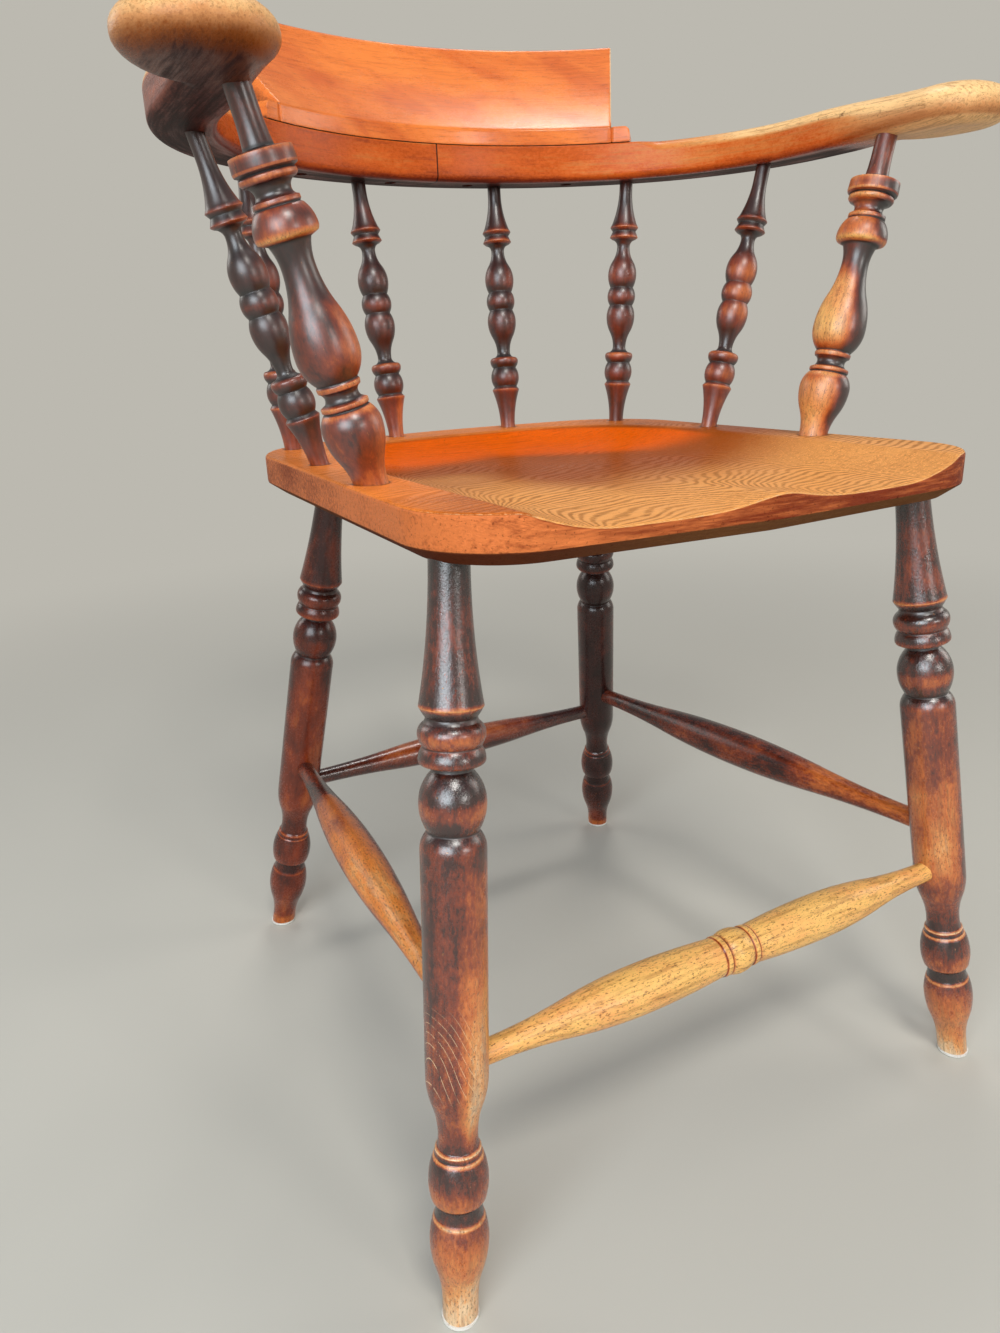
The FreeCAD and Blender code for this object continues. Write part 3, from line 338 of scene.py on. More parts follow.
# Node trees: one helper for the materials, the world and the lathe.
class Tree:
    """Adds nodes to a tree and joins them."""

    def __init__(self, tree):
        self.tree = tree

    def add(self, kind, inputs, output=0, **settings):
        """A new node with its settings and inputs; gives one of its outputs."""
        node = self.tree.nodes.new(kind)
        for key, value in settings.items():
            setattr(node, key, value)
        for key, value in inputs.items():
            self.put(node.inputs[key], value)
        return node.outputs[output]

    def put(self, socket, value):
        """Join an output to an input, or set the input to a plain value."""
        if isinstance(value, bpy.types.NodeSocket):
            self.tree.links.new(value, socket)
        elif socket.type == "RGBA":
            socket.default_value = (*value[:3], 1)
        else:
            socket.default_value = value

    def part(self, vector, index):
        """One of a vector's three numbers."""
        return self.add("ShaderNodeSeparateXYZ", {0: vector}, index)

    def calc(self, operation, *values):
        return self.add("ShaderNodeMath", dict(enumerate(values)), operation=operation)

    def times(self, first, second):
        return self.calc("MULTIPLY", first, second)

    def plus(self, first, second):
        return self.calc("ADD", first, second)

    def in_view(self):
        """One for rays that are seen, straight or by way of a gloss or something clear."""
        rays = self.tree.nodes.new("ShaderNodeLightPath").outputs
        seen = self.calc("MAXIMUM", rays["Is Camera Ray"], rays["Is Glossy Ray"])
        return self.calc("MAXIMUM", seen, rays["Is Transmission Ray"])


# Finishes: procedural, in millimetres of each piece's own grain.
class MaterialTree(Tree):
    """The tree of a new material, with the steps that the finishes share."""

    def __init__(self, name):
        self.material = bpy.data.materials.new(name)
        self.material.use_nodes = True
        super().__init__(self.material.node_tree)
        self.shader = self.tree.nodes["Principled BSDF"]

    def layer(self, name, vector=False):
        """A value painted on the piece's points."""
        return self.add("ShaderNodeAttribute", {}, 1 if vector else 2, attribute_name=name)

    def layers(self, *names):
        return [self.layer(name) for name in names]

    def object_place(self):
        """Place on the piece in millimetres."""
        return self.stretch(self.add("ShaderNodeTexCoord", {}, "Object"), (1 / MM,) * 3)

    def stretch(self, vector, scale, turn=(0, 0, 0)):
        return self.add("ShaderNodeMapping", {"Vector": vector, "Scale": scale, "Rotation": turn})

    def noise(self, vector, scale, detail=3, roughness=0.55, distortion=0.0):
        """Noise of unit spread about a half, at its own scale along each axis."""
        return self.add("ShaderNodeTexNoise", {
            "Vector": self.stretch(vector, scale), "Scale": 1.0, "Detail": detail,
            "Roughness": roughness, "Distortion": distortion})

    def about(self, value, amount):
        """A noise value turned into a swing about nothing."""
        return self.calc("MULTIPLY_ADD", value, amount, -0.5 * amount)

    def swing(self, base, *parts):
        """A base value with several noises of given amounts added to it."""
        for noise, amount in parts:
            base = self.plus(base, self.about(noise, amount))
        return base

    def raised(self, base, *parts):
        """A base value with several values of given amounts added to it."""
        for value, amount in parts:
            base = self.plus(base, self.times(value, amount))
        return base

    def between(self, value, low, high, start=0.0, end=1.0):
        """A soft step of a value from low to high."""
        return self.add("ShaderNodeMapRange", {0: value, 1: low, 2: high, 3: start, 4: end},
                        interpolation_type="SMOOTHSTEP")

    def mix(self, share, first, second, blend="MIX"):
        return self.add("ShaderNodeMix", {0: share, 6: first, 7: second}, 2,
                        data_type="RGBA", blend_type=blend)

    def patch(self, colour, tone, base, low, high, *parts, most=1.0):
        """Lay a tone over a colour where a base value, frayed by noises, rises from low to high."""
        return self.mix(self.between(self.swing(base, *parts), low, high, 0.0, most), colour, tone)

    def ramp(self, value, *stops):
        """Colours passed in order as a value rises; each stop is a place and a colour."""
        node = self.tree.nodes.new("ShaderNodeValToRGB")
        band = node.color_ramp
        band.elements[0].position, band.elements[1].position = stops[0][0], stops[-1][0]
        for place, _ in stops[1:-1]:
            band.elements.new(place)
        for element, (_, colour) in zip(band.elements, stops):
            element.color = (*colour, 1)
        self.put(node.inputs[0], value)
        return node.outputs[0]

    def darken(self, colour, share, depth):
        """Pull a colour down by depth where the share is whole."""
        return self.mix(share, colour, self.mix(1.0, colour, (depth, depth * 0.82, depth * 0.72), "MULTIPLY"))

    def finish(self, colour, roughness, height, relief, coat=0.0, coat_roughness=0.2, shine=0.5):
        """Join colour, roughness and relief to the shader, and give the material."""
        bump = self.add("ShaderNodeBump", {"Height": height, "Strength": 1.0, "Distance": relief})
        for name, value in (("Base Color", colour), ("Roughness", roughness), ("Normal", bump),
                            ("Specular IOR Level", shine), ("Coat Weight", coat),
                            ("Coat Roughness", coat_roughness)):
            self.put(self.shader.inputs[name], value)
        return self.material


# How many scratches pass in a millimetre across a leg and along it. Their slant comes from the signs.
SCRATCHES_ACROSS, SCRATCHES_ALONG = -0.24, 0.13


def turned_finish(name, worn_tones, fray, specks=1.0, coat=0.25, shine=1.0, satin=0.0, pebbled=1.0):
    """Old varnish on a turning, rubbed through red and orange to the wood on its crowns."""
    tint = colours()
    nodes = MaterialTree(name)
    grain = nodes.layer("grain", True)
    wear, grime, scuff = nodes.layers("wear", "grime", "scuff")
    blotch = nodes.noise(grain, (0.05, 0.05, 0.03), 3)
    streak = nodes.noise(grain, (0.35, 0.35, 0.025), 4, 0.6)
    fleck = nodes.noise(grain, (0.45, 0.45, 0.2), 6, 0.75)
    pebble = nodes.noise(grain, (0.6, 0.6, 0.5), 3, 0.7)
    dots = nodes.noise(grain, (0.9, 0.9, 0.35), 3, 0.8)
    chip = nodes.noise(grain, (0.3, 0.3, 0.2), 4, 0.75)
    drift = nodes.noise(grain, (0.03, 0.03, 0.02), 0)
    ragged = nodes.swing(wear, (blotch, 0.4 + 0.4 * fray), (streak, 0.7 * fray), (fleck, fray))
    colour = nodes.ramp(ragged, (0.0, tint.grime), (0.2, tint.dark_varnish), (0.38, tint.red_varnish),
                        (0.56, worn_tones[0]), (0.8, worn_tones[1]), (1.0, worn_tones[2]))
    colour = nodes.darken(colour, nodes.between(streak, 0.46, 0.64, 0.0, 0.7), 0.55)
    open_wood = nodes.between(ragged, 0.4, 0.65)
    speckled = nodes.times(nodes.between(dots, 0.55, 0.63), nodes.times(open_wood, specks))
    colour = nodes.darken(colour, speckled, 0.3)
    chipped = nodes.times(nodes.between(chip, 0.67, 0.71), nodes.between(wear, 0.03, 0.2, 0.0, fray))
    colour = nodes.mix(nodes.times(chipped, 0.75), colour, tint.worn)
    sweep = nodes.times(nodes.part(grain, 2), SCRATCHES_ALONG)
    sweep = nodes.swing(nodes.raised(sweep, (nodes.part(grain, 0), SCRATCHES_ACROSS)), (drift, 5.0))
    scratch = nodes.between(nodes.calc("FRACT", sweep), 0.93, 0.98)
    scratch = nodes.times(scratch, nodes.times(scuff, nodes.between(streak, 0.4, 0.5)))
    colour = nodes.mix(scratch, colour, tint.bare)
    # Grooves, joints and creases are darkened towards the grime colour: grime and painted shade.
    settled_grime_and_shade = nodes.between(nodes.swing(grime, (fleck, 0.4)), 0.2, 0.8)
    colour = nodes.mix(nodes.times(settled_grime_and_shade, 0.92), colour, tint.grime)
    rough = nodes.swing(0.26 + satin, (pebble, 0.3 * pebbled), (blotch, 0.2))
    rough = nodes.raised(rough, (open_wood, 0.1), (settled_grime_and_shade, 0.25))
    height = nodes.swing(nodes.times(chipped, -0.4), (pebble, 0.7), (streak, 0.3), (fleck, 0.4))
    return nodes.finish(colour, rough, height, (0.0001 + 0.0004 * fray) * pebbled, coat, 0.18, shine)


def seat_finish():
    """Elm plank: fine growth rings cut by the saddle, open pores, worn varnish by zone, with painted sheen on
    the top and painted shade on the walls towards the right and back.
    """
    tint = colours()
    nodes = MaterialTree("seat_elm")
    place = nodes.object_place()
    cove, front, rim, side = nodes.layers("cove", "front", "rim", "side")
    under, grime, edge = nodes.layers("under", "grime", "edge")
    warp = nodes.noise(place, (0.008, 0.012, 0.03), 2)
    blotch = nodes.noise(place, (0.014, 0.022, 0.03), 4, 0.6)
    fibre = nodes.noise(place, (0.016, 0.4, 0.4), 4, 0.65)
    pore = nodes.noise(place, (0.09, 0.9, 1.2), 3, 0.6)
    speck = nodes.noise(place, (0.5, 0.5, 0.5), 4, 0.72)
    plank = nodes.stretch(place, (1, 1, 1), (math.radians(5.5), math.radians(2), 0))
    rings = nodes.times(nodes.part(plank, 2), MM / sizes().ring_width)
    rings = nodes.calc("FRACT", nodes.swing(rings, (warp, 10.0), (blotch, 2.0)))
    rings = nodes.calc("ABSOLUTE", nodes.about(rings, 2.0))
    lines = nodes.times(nodes.between(rings, 0.3, 0.85), nodes.between(pore, 0.34, 0.52))
    colour = nodes.patch(tint.seat_brown, tint.seat_golden, front, 0.05, 1.0, (blotch, 0.35), (fibre, 0.5))
    colour = nodes.patch(colour, tint.seat_orange, cove, 0.15, 0.9, (blotch, 0.4), (fibre, 0.4))
    colour = nodes.patch(colour, tint.seat_rim, rim, 0.3, 0.9, (blotch, 0.6), (speck, 0.6))
    colour = nodes.darken(colour, nodes.between(fibre, 0.46, 0.7, 0.0, 0.5), 0.62)
    depth = nodes.times(nodes.raised(0.36, (front, 0.4)), nodes.between(blotch, 0.3, 0.6, 0.5, 1.0))
    colour = nodes.darken(colour, nodes.times(lines, depth), 0.34)
    # On the walls the front layer is painted shade, which pulls them towards red varnish.
    wall = nodes.patch(tint.seat_side, tint.red_varnish, nodes.raised(0.3, (front, 0.5)), 0.22, 0.96,
                       (blotch, 0.9), (fibre, 1.3))
    colour = nodes.patch(colour, wall, side, 0.35, 0.65, (speck, 0.4))
    colour = nodes.patch(colour, tint.dark_varnish, under, 0.35, 0.7, (speck, 0.4), most=0.8)
    spots = nodes.times(nodes.between(speck, 0.58, 0.68), nodes.raised(0.55, (side, 0.3)))
    colour = nodes.darken(colour, spots, 0.3)
    colour = nodes.patch(colour, tint.bare, edge, 0.45, 0.8, (speck, 0.7))
    # Grime and painted shade along the saddle's back lip and round the spindle feet.
    colour = nodes.patch(colour, tint.grime, grime, 0.25, 0.8, (speck, 0.6))
    rough = nodes.swing(0.3, (blotch, 0.25), (speck, 0.25))
    rough = nodes.raised(rough, (under, 0.4), (front, 0.12), (lines, 0.12))
    height = nodes.swing(nodes.times(lines, -0.5), (fibre, 0.25), (speck, 0.3))
    return nodes.finish(colour, rough, height, 0.0004, 0.01, 0.16, 0.05)


# The dark split in the right arm: how fast it ends along each axis, and its place.
SPLIT_SPREAD = (0.22, 0.11, 0.3)
SPLIT_MARK = tuple(place * spread for place, spread in zip((229, -50, 718), SPLIT_SPREAD))


def arm_finish():
    """Bow of the arms: orange inside, worn pale on top, dark below, which is partly painted shade."""
    tint = colours()
    nodes = MaterialTree("arm_varnish")
    grain = nodes.layer("grain", True)
    wear, grime, handled = nodes.layers("wear", "grime", "handled")
    blotch = nodes.noise(grain, (0.016, 0.06, 0.06), 4, 0.6)
    streak = nodes.noise(grain, (0.025, 0.45, 0.45), 4, 0.6)
    fleck = nodes.noise(grain, (0.3, 0.55, 0.55), 5, 0.72)
    pore = nodes.noise(grain, (0.14, 1.2, 1.2), 3, 0.6)
    dots = nodes.noise(grain, (0.35, 0.7, 0.7), 3, 0.8)
    ragged = nodes.swing(wear, (blotch, 0.34), (streak, 0.32), (fleck, 0.24))
    colour = nodes.ramp(ragged, (0.0, tint.grime), (0.12, tint.dark_varnish), (0.28, tint.red_varnish),
                        (0.46, tint.bow_orange), (0.68, tint.worn), (0.9, tint.arm_tan))
    rubbed = nodes.swing(wear, (blotch, 0.34), (streak, 0.44), (fleck, 0.08))
    palm = nodes.ramp(rubbed, (0.0, tint.grime), (0.16, tint.dark_varnish), (0.4, tint.hand_brown),
                      (0.68, tint.hand_tan), (0.94, tint.arm_tan))
    colour = nodes.mix(handled, colour, palm)
    streaked = nodes.times(nodes.between(streak, 0.47, 0.66), nodes.raised(0.45, (handled, 0.35)))
    colour = nodes.darken(colour, streaked, 0.58)
    open_wood = nodes.between(ragged, 0.5, 0.85)
    pores = nodes.times(nodes.between(pore, 0.55, 0.66), nodes.times(open_wood, 0.6))
    colour = nodes.darken(colour, pores, 0.45)
    dotted = nodes.times(nodes.between(dots, 0.6, 0.68), nodes.raised(0.2, (open_wood, 0.6)))
    colour = nodes.darken(colour, dotted, 0.3)
    place = nodes.stretch(nodes.object_place(), SPLIT_SPREAD)
    apart = nodes.add("ShaderNodeVectorMath", {0: place, 1: SPLIT_MARK}, 1, operation="DISTANCE")
    colour = nodes.darken(colour, nodes.between(nodes.swing(apart, (fleck, 1.6)), 1.0, 0.5), 0.2)
    # Grime and painted shade at the joint and beside the crest.
    settled_grime_and_shade = nodes.between(nodes.swing(grime, (fleck, 0.3)), 0.3, 0.8)
    colour = nodes.mix(nodes.times(settled_grime_and_shade, 0.92), colour, tint.grime)
    rough = nodes.swing(nodes.raised(0.28, (open_wood, 0.12)), (fleck, 0.3), (blotch, 0.2))
    rough = nodes.plus(rough, nodes.between(ragged, 0.05, 0.3, 0.4, 0.0))
    height = nodes.swing(0.5, (fleck, 0.35), (streak, 0.3), (pore, 0.3), (dots, 0.4))
    return nodes.finish(colour, rough, height, 0.0003, 0.03, 0.18, 0.13)


def crest_finish():
    """Crest: clear amber with a slanting darker figure."""
    tint = colours()
    nodes = MaterialTree("crest_amber")
    grain = nodes.layer("grain", True)
    wear, grime = nodes.layers("wear", "grime")
    slant = nodes.stretch(grain, (1, 1, 1), (0, 0, math.radians(33)))
    figure = nodes.noise(slant, (0.01, 0.035, 0.02), 3, 0.6, 0.5)
    cloud = nodes.noise(grain, (0.012, 0.024, 0.02), 3)
    streak = nodes.noise(grain, (0.02, 0.4, 0.3), 4, 0.6)
    pore = nodes.noise(grain, (0.1, 1.3, 1.2), 3)
    fleck = nodes.noise(grain, (0.4, 0.6, 0.6), 4, 0.72)
    colour = nodes.patch(tint.crest_amber, tint.crest_figure, 0.4, 0.1, 0.9, (figure, 1.4), (cloud, 0.8))
    colour = nodes.darken(colour, nodes.between(streak, 0.46, 0.7, 0.0, 0.5), 0.66)
    colour = nodes.darken(colour, nodes.times(nodes.between(pore, 0.56, 0.66), 0.5), 0.5)
    colour = nodes.darken(colour, nodes.between(fleck, 0.62, 0.7, 0.0, 0.6), 0.4)
    colour = nodes.patch(colour, tint.bare, wear, 0.4, 0.7, (fleck, 0.5))
    # Grime and painted shade at the seam and at the steps.
    colour = nodes.patch(colour, tint.grime, grime, 0.3, 0.8, (fleck, 0.4))
    rough = nodes.swing(0.28, (cloud, 0.2), (fleck, 0.2))
    height = nodes.swing(0.5, (streak, 0.25), (pore, 0.3), (fleck, 0.2))
    return nodes.finish(colour, rough, height, 0.0003, 0.1, 0.14, 0.35)


def plain_finish(name, colour, scale, coarseness, shadow, rough, relief, metal=0.0):
    """One colour under one noise: the noise's range and depth of shadow, the roughness and its spread."""
    nodes = MaterialTree(name)
    noise = nodes.noise(nodes.object_place(), scale, 4, coarseness)
    low, high, depth = shadow
    tone = nodes.darken(colour, nodes.between(noise, low, high), depth)
    nodes.put(nodes.shader.inputs["Metallic"], metal)
    return nodes.finish(tone, nodes.swing(rough[0], (noise, rough[1])), noise, relief)


# How far from the chair the floor starts to turn into the background, and where it has done so.
FLOOR_FADE = (700, 2100)


def floor_finish():
    """Plain floor that keeps the shadow and turns into the background further off."""
    nodes = MaterialTree("floor_plain")
    for name, value in (("Base Color", colours().floor), ("Roughness", 0.9), ("Specular IOR Level", 0.1)):
        nodes.put(nodes.shader.inputs[name], value)
    away = nodes.add("ShaderNodeVectorMath", {0: nodes.object_place()}, 1, operation="LENGTH")
    share = nodes.times(nodes.between(away, *FLOOR_FADE), nodes.in_view())
    glow = nodes.add("ShaderNodeEmission", {"Color": colours().backdrop, "Strength": 1.0})
    blend = nodes.add("ShaderNodeMixShader", {0: share, 1: nodes.shader.outputs[0], 2: glow})
    nodes.put(nodes.tree.nodes["Material Output"].inputs["Surface"], blend)
    return nodes.material


# Turned pieces: an outline of points along the axis, spun by a node tree.
def arc_points(crest, other):
    """Points of the arc that leaves a crest along the axis and ends at the other point."""
    reach, rise = other[0] - crest[0], other[1] - crest[1]
    radius = (rise ** 2 + reach ** 2) / (2 * rise)
    end = math.atan2(reach / abs(radius), 1 - rise / radius)
    turn = np.linspace(0, end, max(4, math.ceil(abs(radius * end) / 0.3)))
    return np.column_stack((crest[0] + abs(radius) * np.sin(turn), crest[1] + radius * (1 - np.cos(turn))))


def turned_outline(stations, softness):
    """Even points of distance and radius through a turning's stations, corners softened."""
    rows = [np.array([[stations[0][0], stations[0][1] / 2]])]
    for before, here in zip(stations, stations[1:]):
        start, end = (before[0], before[1] / 2), (here[0], here[1] / 2)
        rounded = before[2] != "edge", here[2] != "edge"
        straight = before[2] == here[2] == "shaft" or not any(rounded)
        if straight or abs(start[1] - end[1]) < 1e-6:
            rows.append(np.array([end]))
        elif all(rounded):
            middle = ((start[0] + end[0]) / 2, (start[1] + end[1]) / 2)
            rows += [arc_points(start, middle)[1:], arc_points(end, middle)[::-1][1:]]
        elif rounded[0]:
            rows.append(arc_points(start, end)[1:])
        else:
            rows.append(arc_points(end, start)[::-1][1:])
    step = 0.2
    return bell_smooth(even_points(np.vstack(rows), step), softness / step)


def thinned(outline, slack=0.02, longest=2.5):
    """The fewest points that keep an outline within the slack."""
    kept = [0]
    for index in range(2, len(outline)):
        start, end = outline[kept[-1]], outline[index]
        chord = end - start
        length = np.hypot(*chord)
        inside = outline[kept[-1] + 1:index] - start
        off = np.abs(inside[:, 0] * chord[1] - inside[:, 1] * chord[0]).max() / max(length, 1e-9)
        if off > slack or length > longest:
            kept.append(index - 1)
    return outline[kept + [len(outline) - 1]]


def lathe_tree():
    """Node tree that spins an axis of points with a radius each into a turned solid."""
    group = bpy.data.node_groups.new("turned_piece", "GeometryNodeTree")
    for name, kind in (("Axis", "Geometry"), ("Sides", "Int"), ("Wobble", "Float"),
                       ("Seed", "Float"), ("Finish", "Material")):
        group.interface.new_socket(name, in_out="INPUT", socket_type="NodeSocket" + kind)
    group.interface.new_socket("Piece", in_out="OUTPUT", socket_type="NodeSocketGeometry")
    nodes = Tree(group)
    given = group.nodes.new("NodeGroupInput").outputs
    axis = nodes.add("GeometryNodeMeshToCurve", {"Mesh": given["Axis"]}, "Curve")
    ring = nodes.add("GeometryNodeCurvePrimitiveCircle", {"Resolution": given["Sides"], "Radius": 1.0},
                     "Curve")
    radius = nodes.add("GeometryNodeInputNamedAttribute", {"Name": "turned_radius"}, "Attribute",
                       data_type="FLOAT")
    spun = nodes.add("GeometryNodeCurveToMesh", {"Curve": axis, "Profile Curve": ring, "Scale": radius,
                                                 "Fill Caps": True}, "Mesh")
    place = nodes.add("GeometryNodeInputPosition", {}, "Position")
    hand = nodes.add("ShaderNodeTexNoise", {"Vector": place, "W": given["Seed"], "Scale": 34.0,
                                            "Detail": 2.0}, noise_dimensions="4D")
    swing = nodes.times(nodes.calc("SUBTRACT", hand, 0.5), given["Wobble"])
    normal = nodes.add("GeometryNodeInputNormal", {}, "Normal")
    offset = nodes.add("ShaderNodeVectorMath", {0: normal, "Scale": swing}, "Vector", operation="SCALE")
    solid = nodes.add("GeometryNodeSetPosition", {"Geometry": spun, "Offset": offset}, "Geometry")
    solid = nodes.add("GeometryNodeSetShadeSmooth", {"Geometry": solid, "Shade Smooth": True}, "Geometry")
    solid = nodes.add("GeometryNodeRealizeInstances", {"Geometry": solid}, "Geometry")
    solid = nodes.add("GeometryNodeSetMaterial", {"Geometry": solid, "Material": given["Finish"]}, "Geometry")
    nodes.put(group.nodes.new("NodeGroupOutput").inputs["Piece"], solid)
    return group


def axis_of(foot, top):
    """Start, direction and two square directions of a turned piece's axis."""
    start = np.array(foot, float)
    along = np.array(top, float) - start
    along /= np.linalg.norm(along)
    across = np.cross(along, (0, 1, 0) if abs(along[1]) < 0.9 else (1, 0, 0))
    across /= np.linalg.norm(across)
    return start, along, across, np.cross(along, across)


# Wear of a turning: raised rings gain some, grooves are painted dark as grime and painted shade, and a rub
# fades at its ends.
OUTLINE_STEP = 0.4
RING_SPAN, RING_RISE, MOST_RING_WEAR = 7, 8, 0.18
GROOVE_SPAN, GROOVE_DEPTH, CLEAN_GROOVE = 3.5, 0.75, 0.15
RUB_FADE = 12
MOST_WEAR = 1.4
# A leg's foot is made level within this much of its axis.
FOOT_LEVEL = (0.5, 16)
SEED_SHIFT = 137.0


def turn_piece(name, stations, foot, top, run, finish, slot, rubs, side_rubs_and_light=(), level_foot=False, seed=0):
    """Spin one turned piece between two distances on its axis and paint its wear, the grime and painted shade
    in its grooves, and the painted light and shade on some of its sides.
    """
    outline = turned_outline(stations, sizes().turned_softness / MM)
    start, along, across, square = axis_of(foot, top)
    rail = thinned(outline[(outline[:, 0] >= run[0]) & (outline[:, 0] <= run[1])])
    mesh = bpy.data.meshes.new(name + "_axis")
    points = start + rail[:, :1] * along
    mesh.from_pydata((points * MM).tolist(), [(index, index + 1) for index in range(len(rail) - 1)], [])
    paint(mesh, turned_radius=rail[:, 1] * MM)
    piece = new_piece(name, mesh)
    spin = piece.modifiers.new("turning", "NODES")
    spin.node_group = bpy.data.node_groups.get("turned_piece") or lathe_tree()
    given = {item.name: item.identifier for item in spin.node_group.interface.items_tree
             if item.in_out == "INPUT"}
    spin[given["Sides"]] = sizes().turned_sides
    spin[given["Wobble"]] = sizes().turned_wobble
    spin[given["Seed"]] = float(seed)
    spin[given["Finish"]] = finish
    mesh = plain_mesh(piece)
    close_mesh(mesh, sharp=55)
    points = mesh_points(mesh)
    place = (points - start) @ along
    if level_foot:
        tilt = (points - start - place[:, None] * along)[:, 2]
        share = 1 - smooth_step(place, run[0] + FOOT_LEVEL[0], run[0] + FOOT_LEVEL[1])
        points -= (share * tilt / along[2])[:, None] * along
        set_points(mesh, points)
    radial = points - start - place[:, None] * along
    facing = radial / np.maximum(np.linalg.norm(radial, axis=1), 1e-6)[:, None]
    even = np.arange(outline[0, 0], outline[-1, 0], OUTLINE_STEP)
    order = np.argsort(outline[:, 0], kind="stable")
    width = np.interp(even, outline[order, 0], outline[order, 1])
    raised = width - bell_smooth(width, RING_SPAN)[:, 0]
    groove = width - bell_smooth(width, GROOVE_SPAN)[:, 0]
    wear = np.interp(place, *zip(*rubs))
    wear += np.interp(place, even, np.clip(raised / RING_RISE, 0, MOST_RING_WEAR))
    # Side rubs are wear on some pieces and painted light and shade on others.
    for low, high, amount, toward in side_rubs_and_light:
        toward = np.array(toward, float) / np.linalg.norm(toward)
        band = smooth_step(place, low - RUB_FADE, low + RUB_FADE)
        band = band * (1 - smooth_step(place, high - RUB_FADE, high + RUB_FADE))
        wear += amount * band * smooth_step(facing @ toward, 0.1, 0.8)
    # Grooves are painted dark by their depth: grime and painted shade.
    grime = np.interp(place, even, np.clip(-groove / GROOVE_DEPTH - CLEAN_GROOVE, 0, 1))
    shift = SEED_SHIFT * seed
    grain = np.column_stack((radial @ across + shift, radial @ square - shift, place + 2 * shift))
    paint(mesh, grain=grain, wear=np.clip(wear, 0, MOST_WEAR), grime=grime)
    settle(piece, finish, slot, name)
    return piece


def mirrored(point):
    """A right-hand point's place on the left."""
    return (-point[0], *point[1:])


def both_sides(axis):
    """The right-hand axis and its mirror image, each with its side's name."""
    return (("right", axis), ("left", tuple(map(mirrored, axis))))


# Wear along each turning: distance on its axis and share.
# On the legs the pale ring lines at 71, 112.5 and 116.8 are worn edges and painted highlights, and the
# falling share above 430, under the seat, is painted shade.
LEG_RUBS_AND_LIGHT = (
    (0, 1.0), (14, 0.9), (30, 0.68), (50, 0.54), (60, 0.42), (68, 0.32), (70.4, 0.34), (71, 0.85),
    (72, 0.3), (74, 0.12), (82, 0.12), (84, 0.5), (93, 0.46), (99, 0.32), (111.8, 0.2), (112.5, 1.0),
    (113.4, 0.3), (114, 0.15), (116, 0.2), (116.8, 1.0), (118.6, 0.25), (126, 0.34), (150, 0.38),
    (170, 0.36), (240, 0.3), (300, 0.25), (306, 0.28), (313, 0.14), (321, 0.2), (326, 0.4), (331, 0.38),
    (335, 0.16), (341.4, 0.13), (342, 0.36), (342.6, 0.13), (351.4, 0.1), (352.8, 0.52), (354.2, 0.2),
    (359, 0.13), (364, 0.36), (370, 0.36), (374, 0.13), (382, 0.12), (385.2, 0.2), (386.2, 0.66),
    (387.4, 0.16), (400, 0.26), (430, 0.2), (455, 0.1), (470, 0.06),
)
SPINDLE_RUBS = (
    (0, 0.42), (8, 0.34), (30, 0.28), (32.4, 0.3), (33.6, 0.4), (35, 0.18), (44, 0.28), (50, 0.2),
    (53.4, 0.1), (58, 0.26), (61, 0.3), (63, 0.14), (67, 0.12), (90, 0.22), (94, 0.24), (94.6, 0.36),
    (95.2, 0.24), (100, 0.22), (104.4, 0.1), (111, 0.3), (120, 0.1), (127, 0.27), (140, 0.2), (155, 0.12),
    (161, 0.18), (163, 0.32), (165, 0.2), (168, 0.1), (171.4, 0.32), (173, 0.2), (203, 0.18), (220, 0.18),
)
SUPPORT_RUBS = (
    (0, 0.55), (12, 0.34), (30, 0.3), (42, 0.28), (45.2, 0.66), (46.4, 0.1), (48.6, 0.66), (50, 0.4),
    (52, 0.1), (58, 0.25), (60.4, 0.74), (62, 0.15), (70, 0.28), (82, 0.3), (100, 0.24), (128, 0.16),
    (139, 0.14), (141.6, 0.66), (145, 0.32), (152, 0.24), (156.4, 0.34), (157.6, 0.08), (159.5, 0.52),
    (160.6, 0.26), (164.6, 0.08), (170, 0.2), (172.4, 0.5), (175.4, 0.08), (176.4, 0.62), (177.6, 0.2),
    (182.6, 0.22), (183.6, 0.56), (184.8, 0.24), (204, 0.3), (215, 0.3),
)
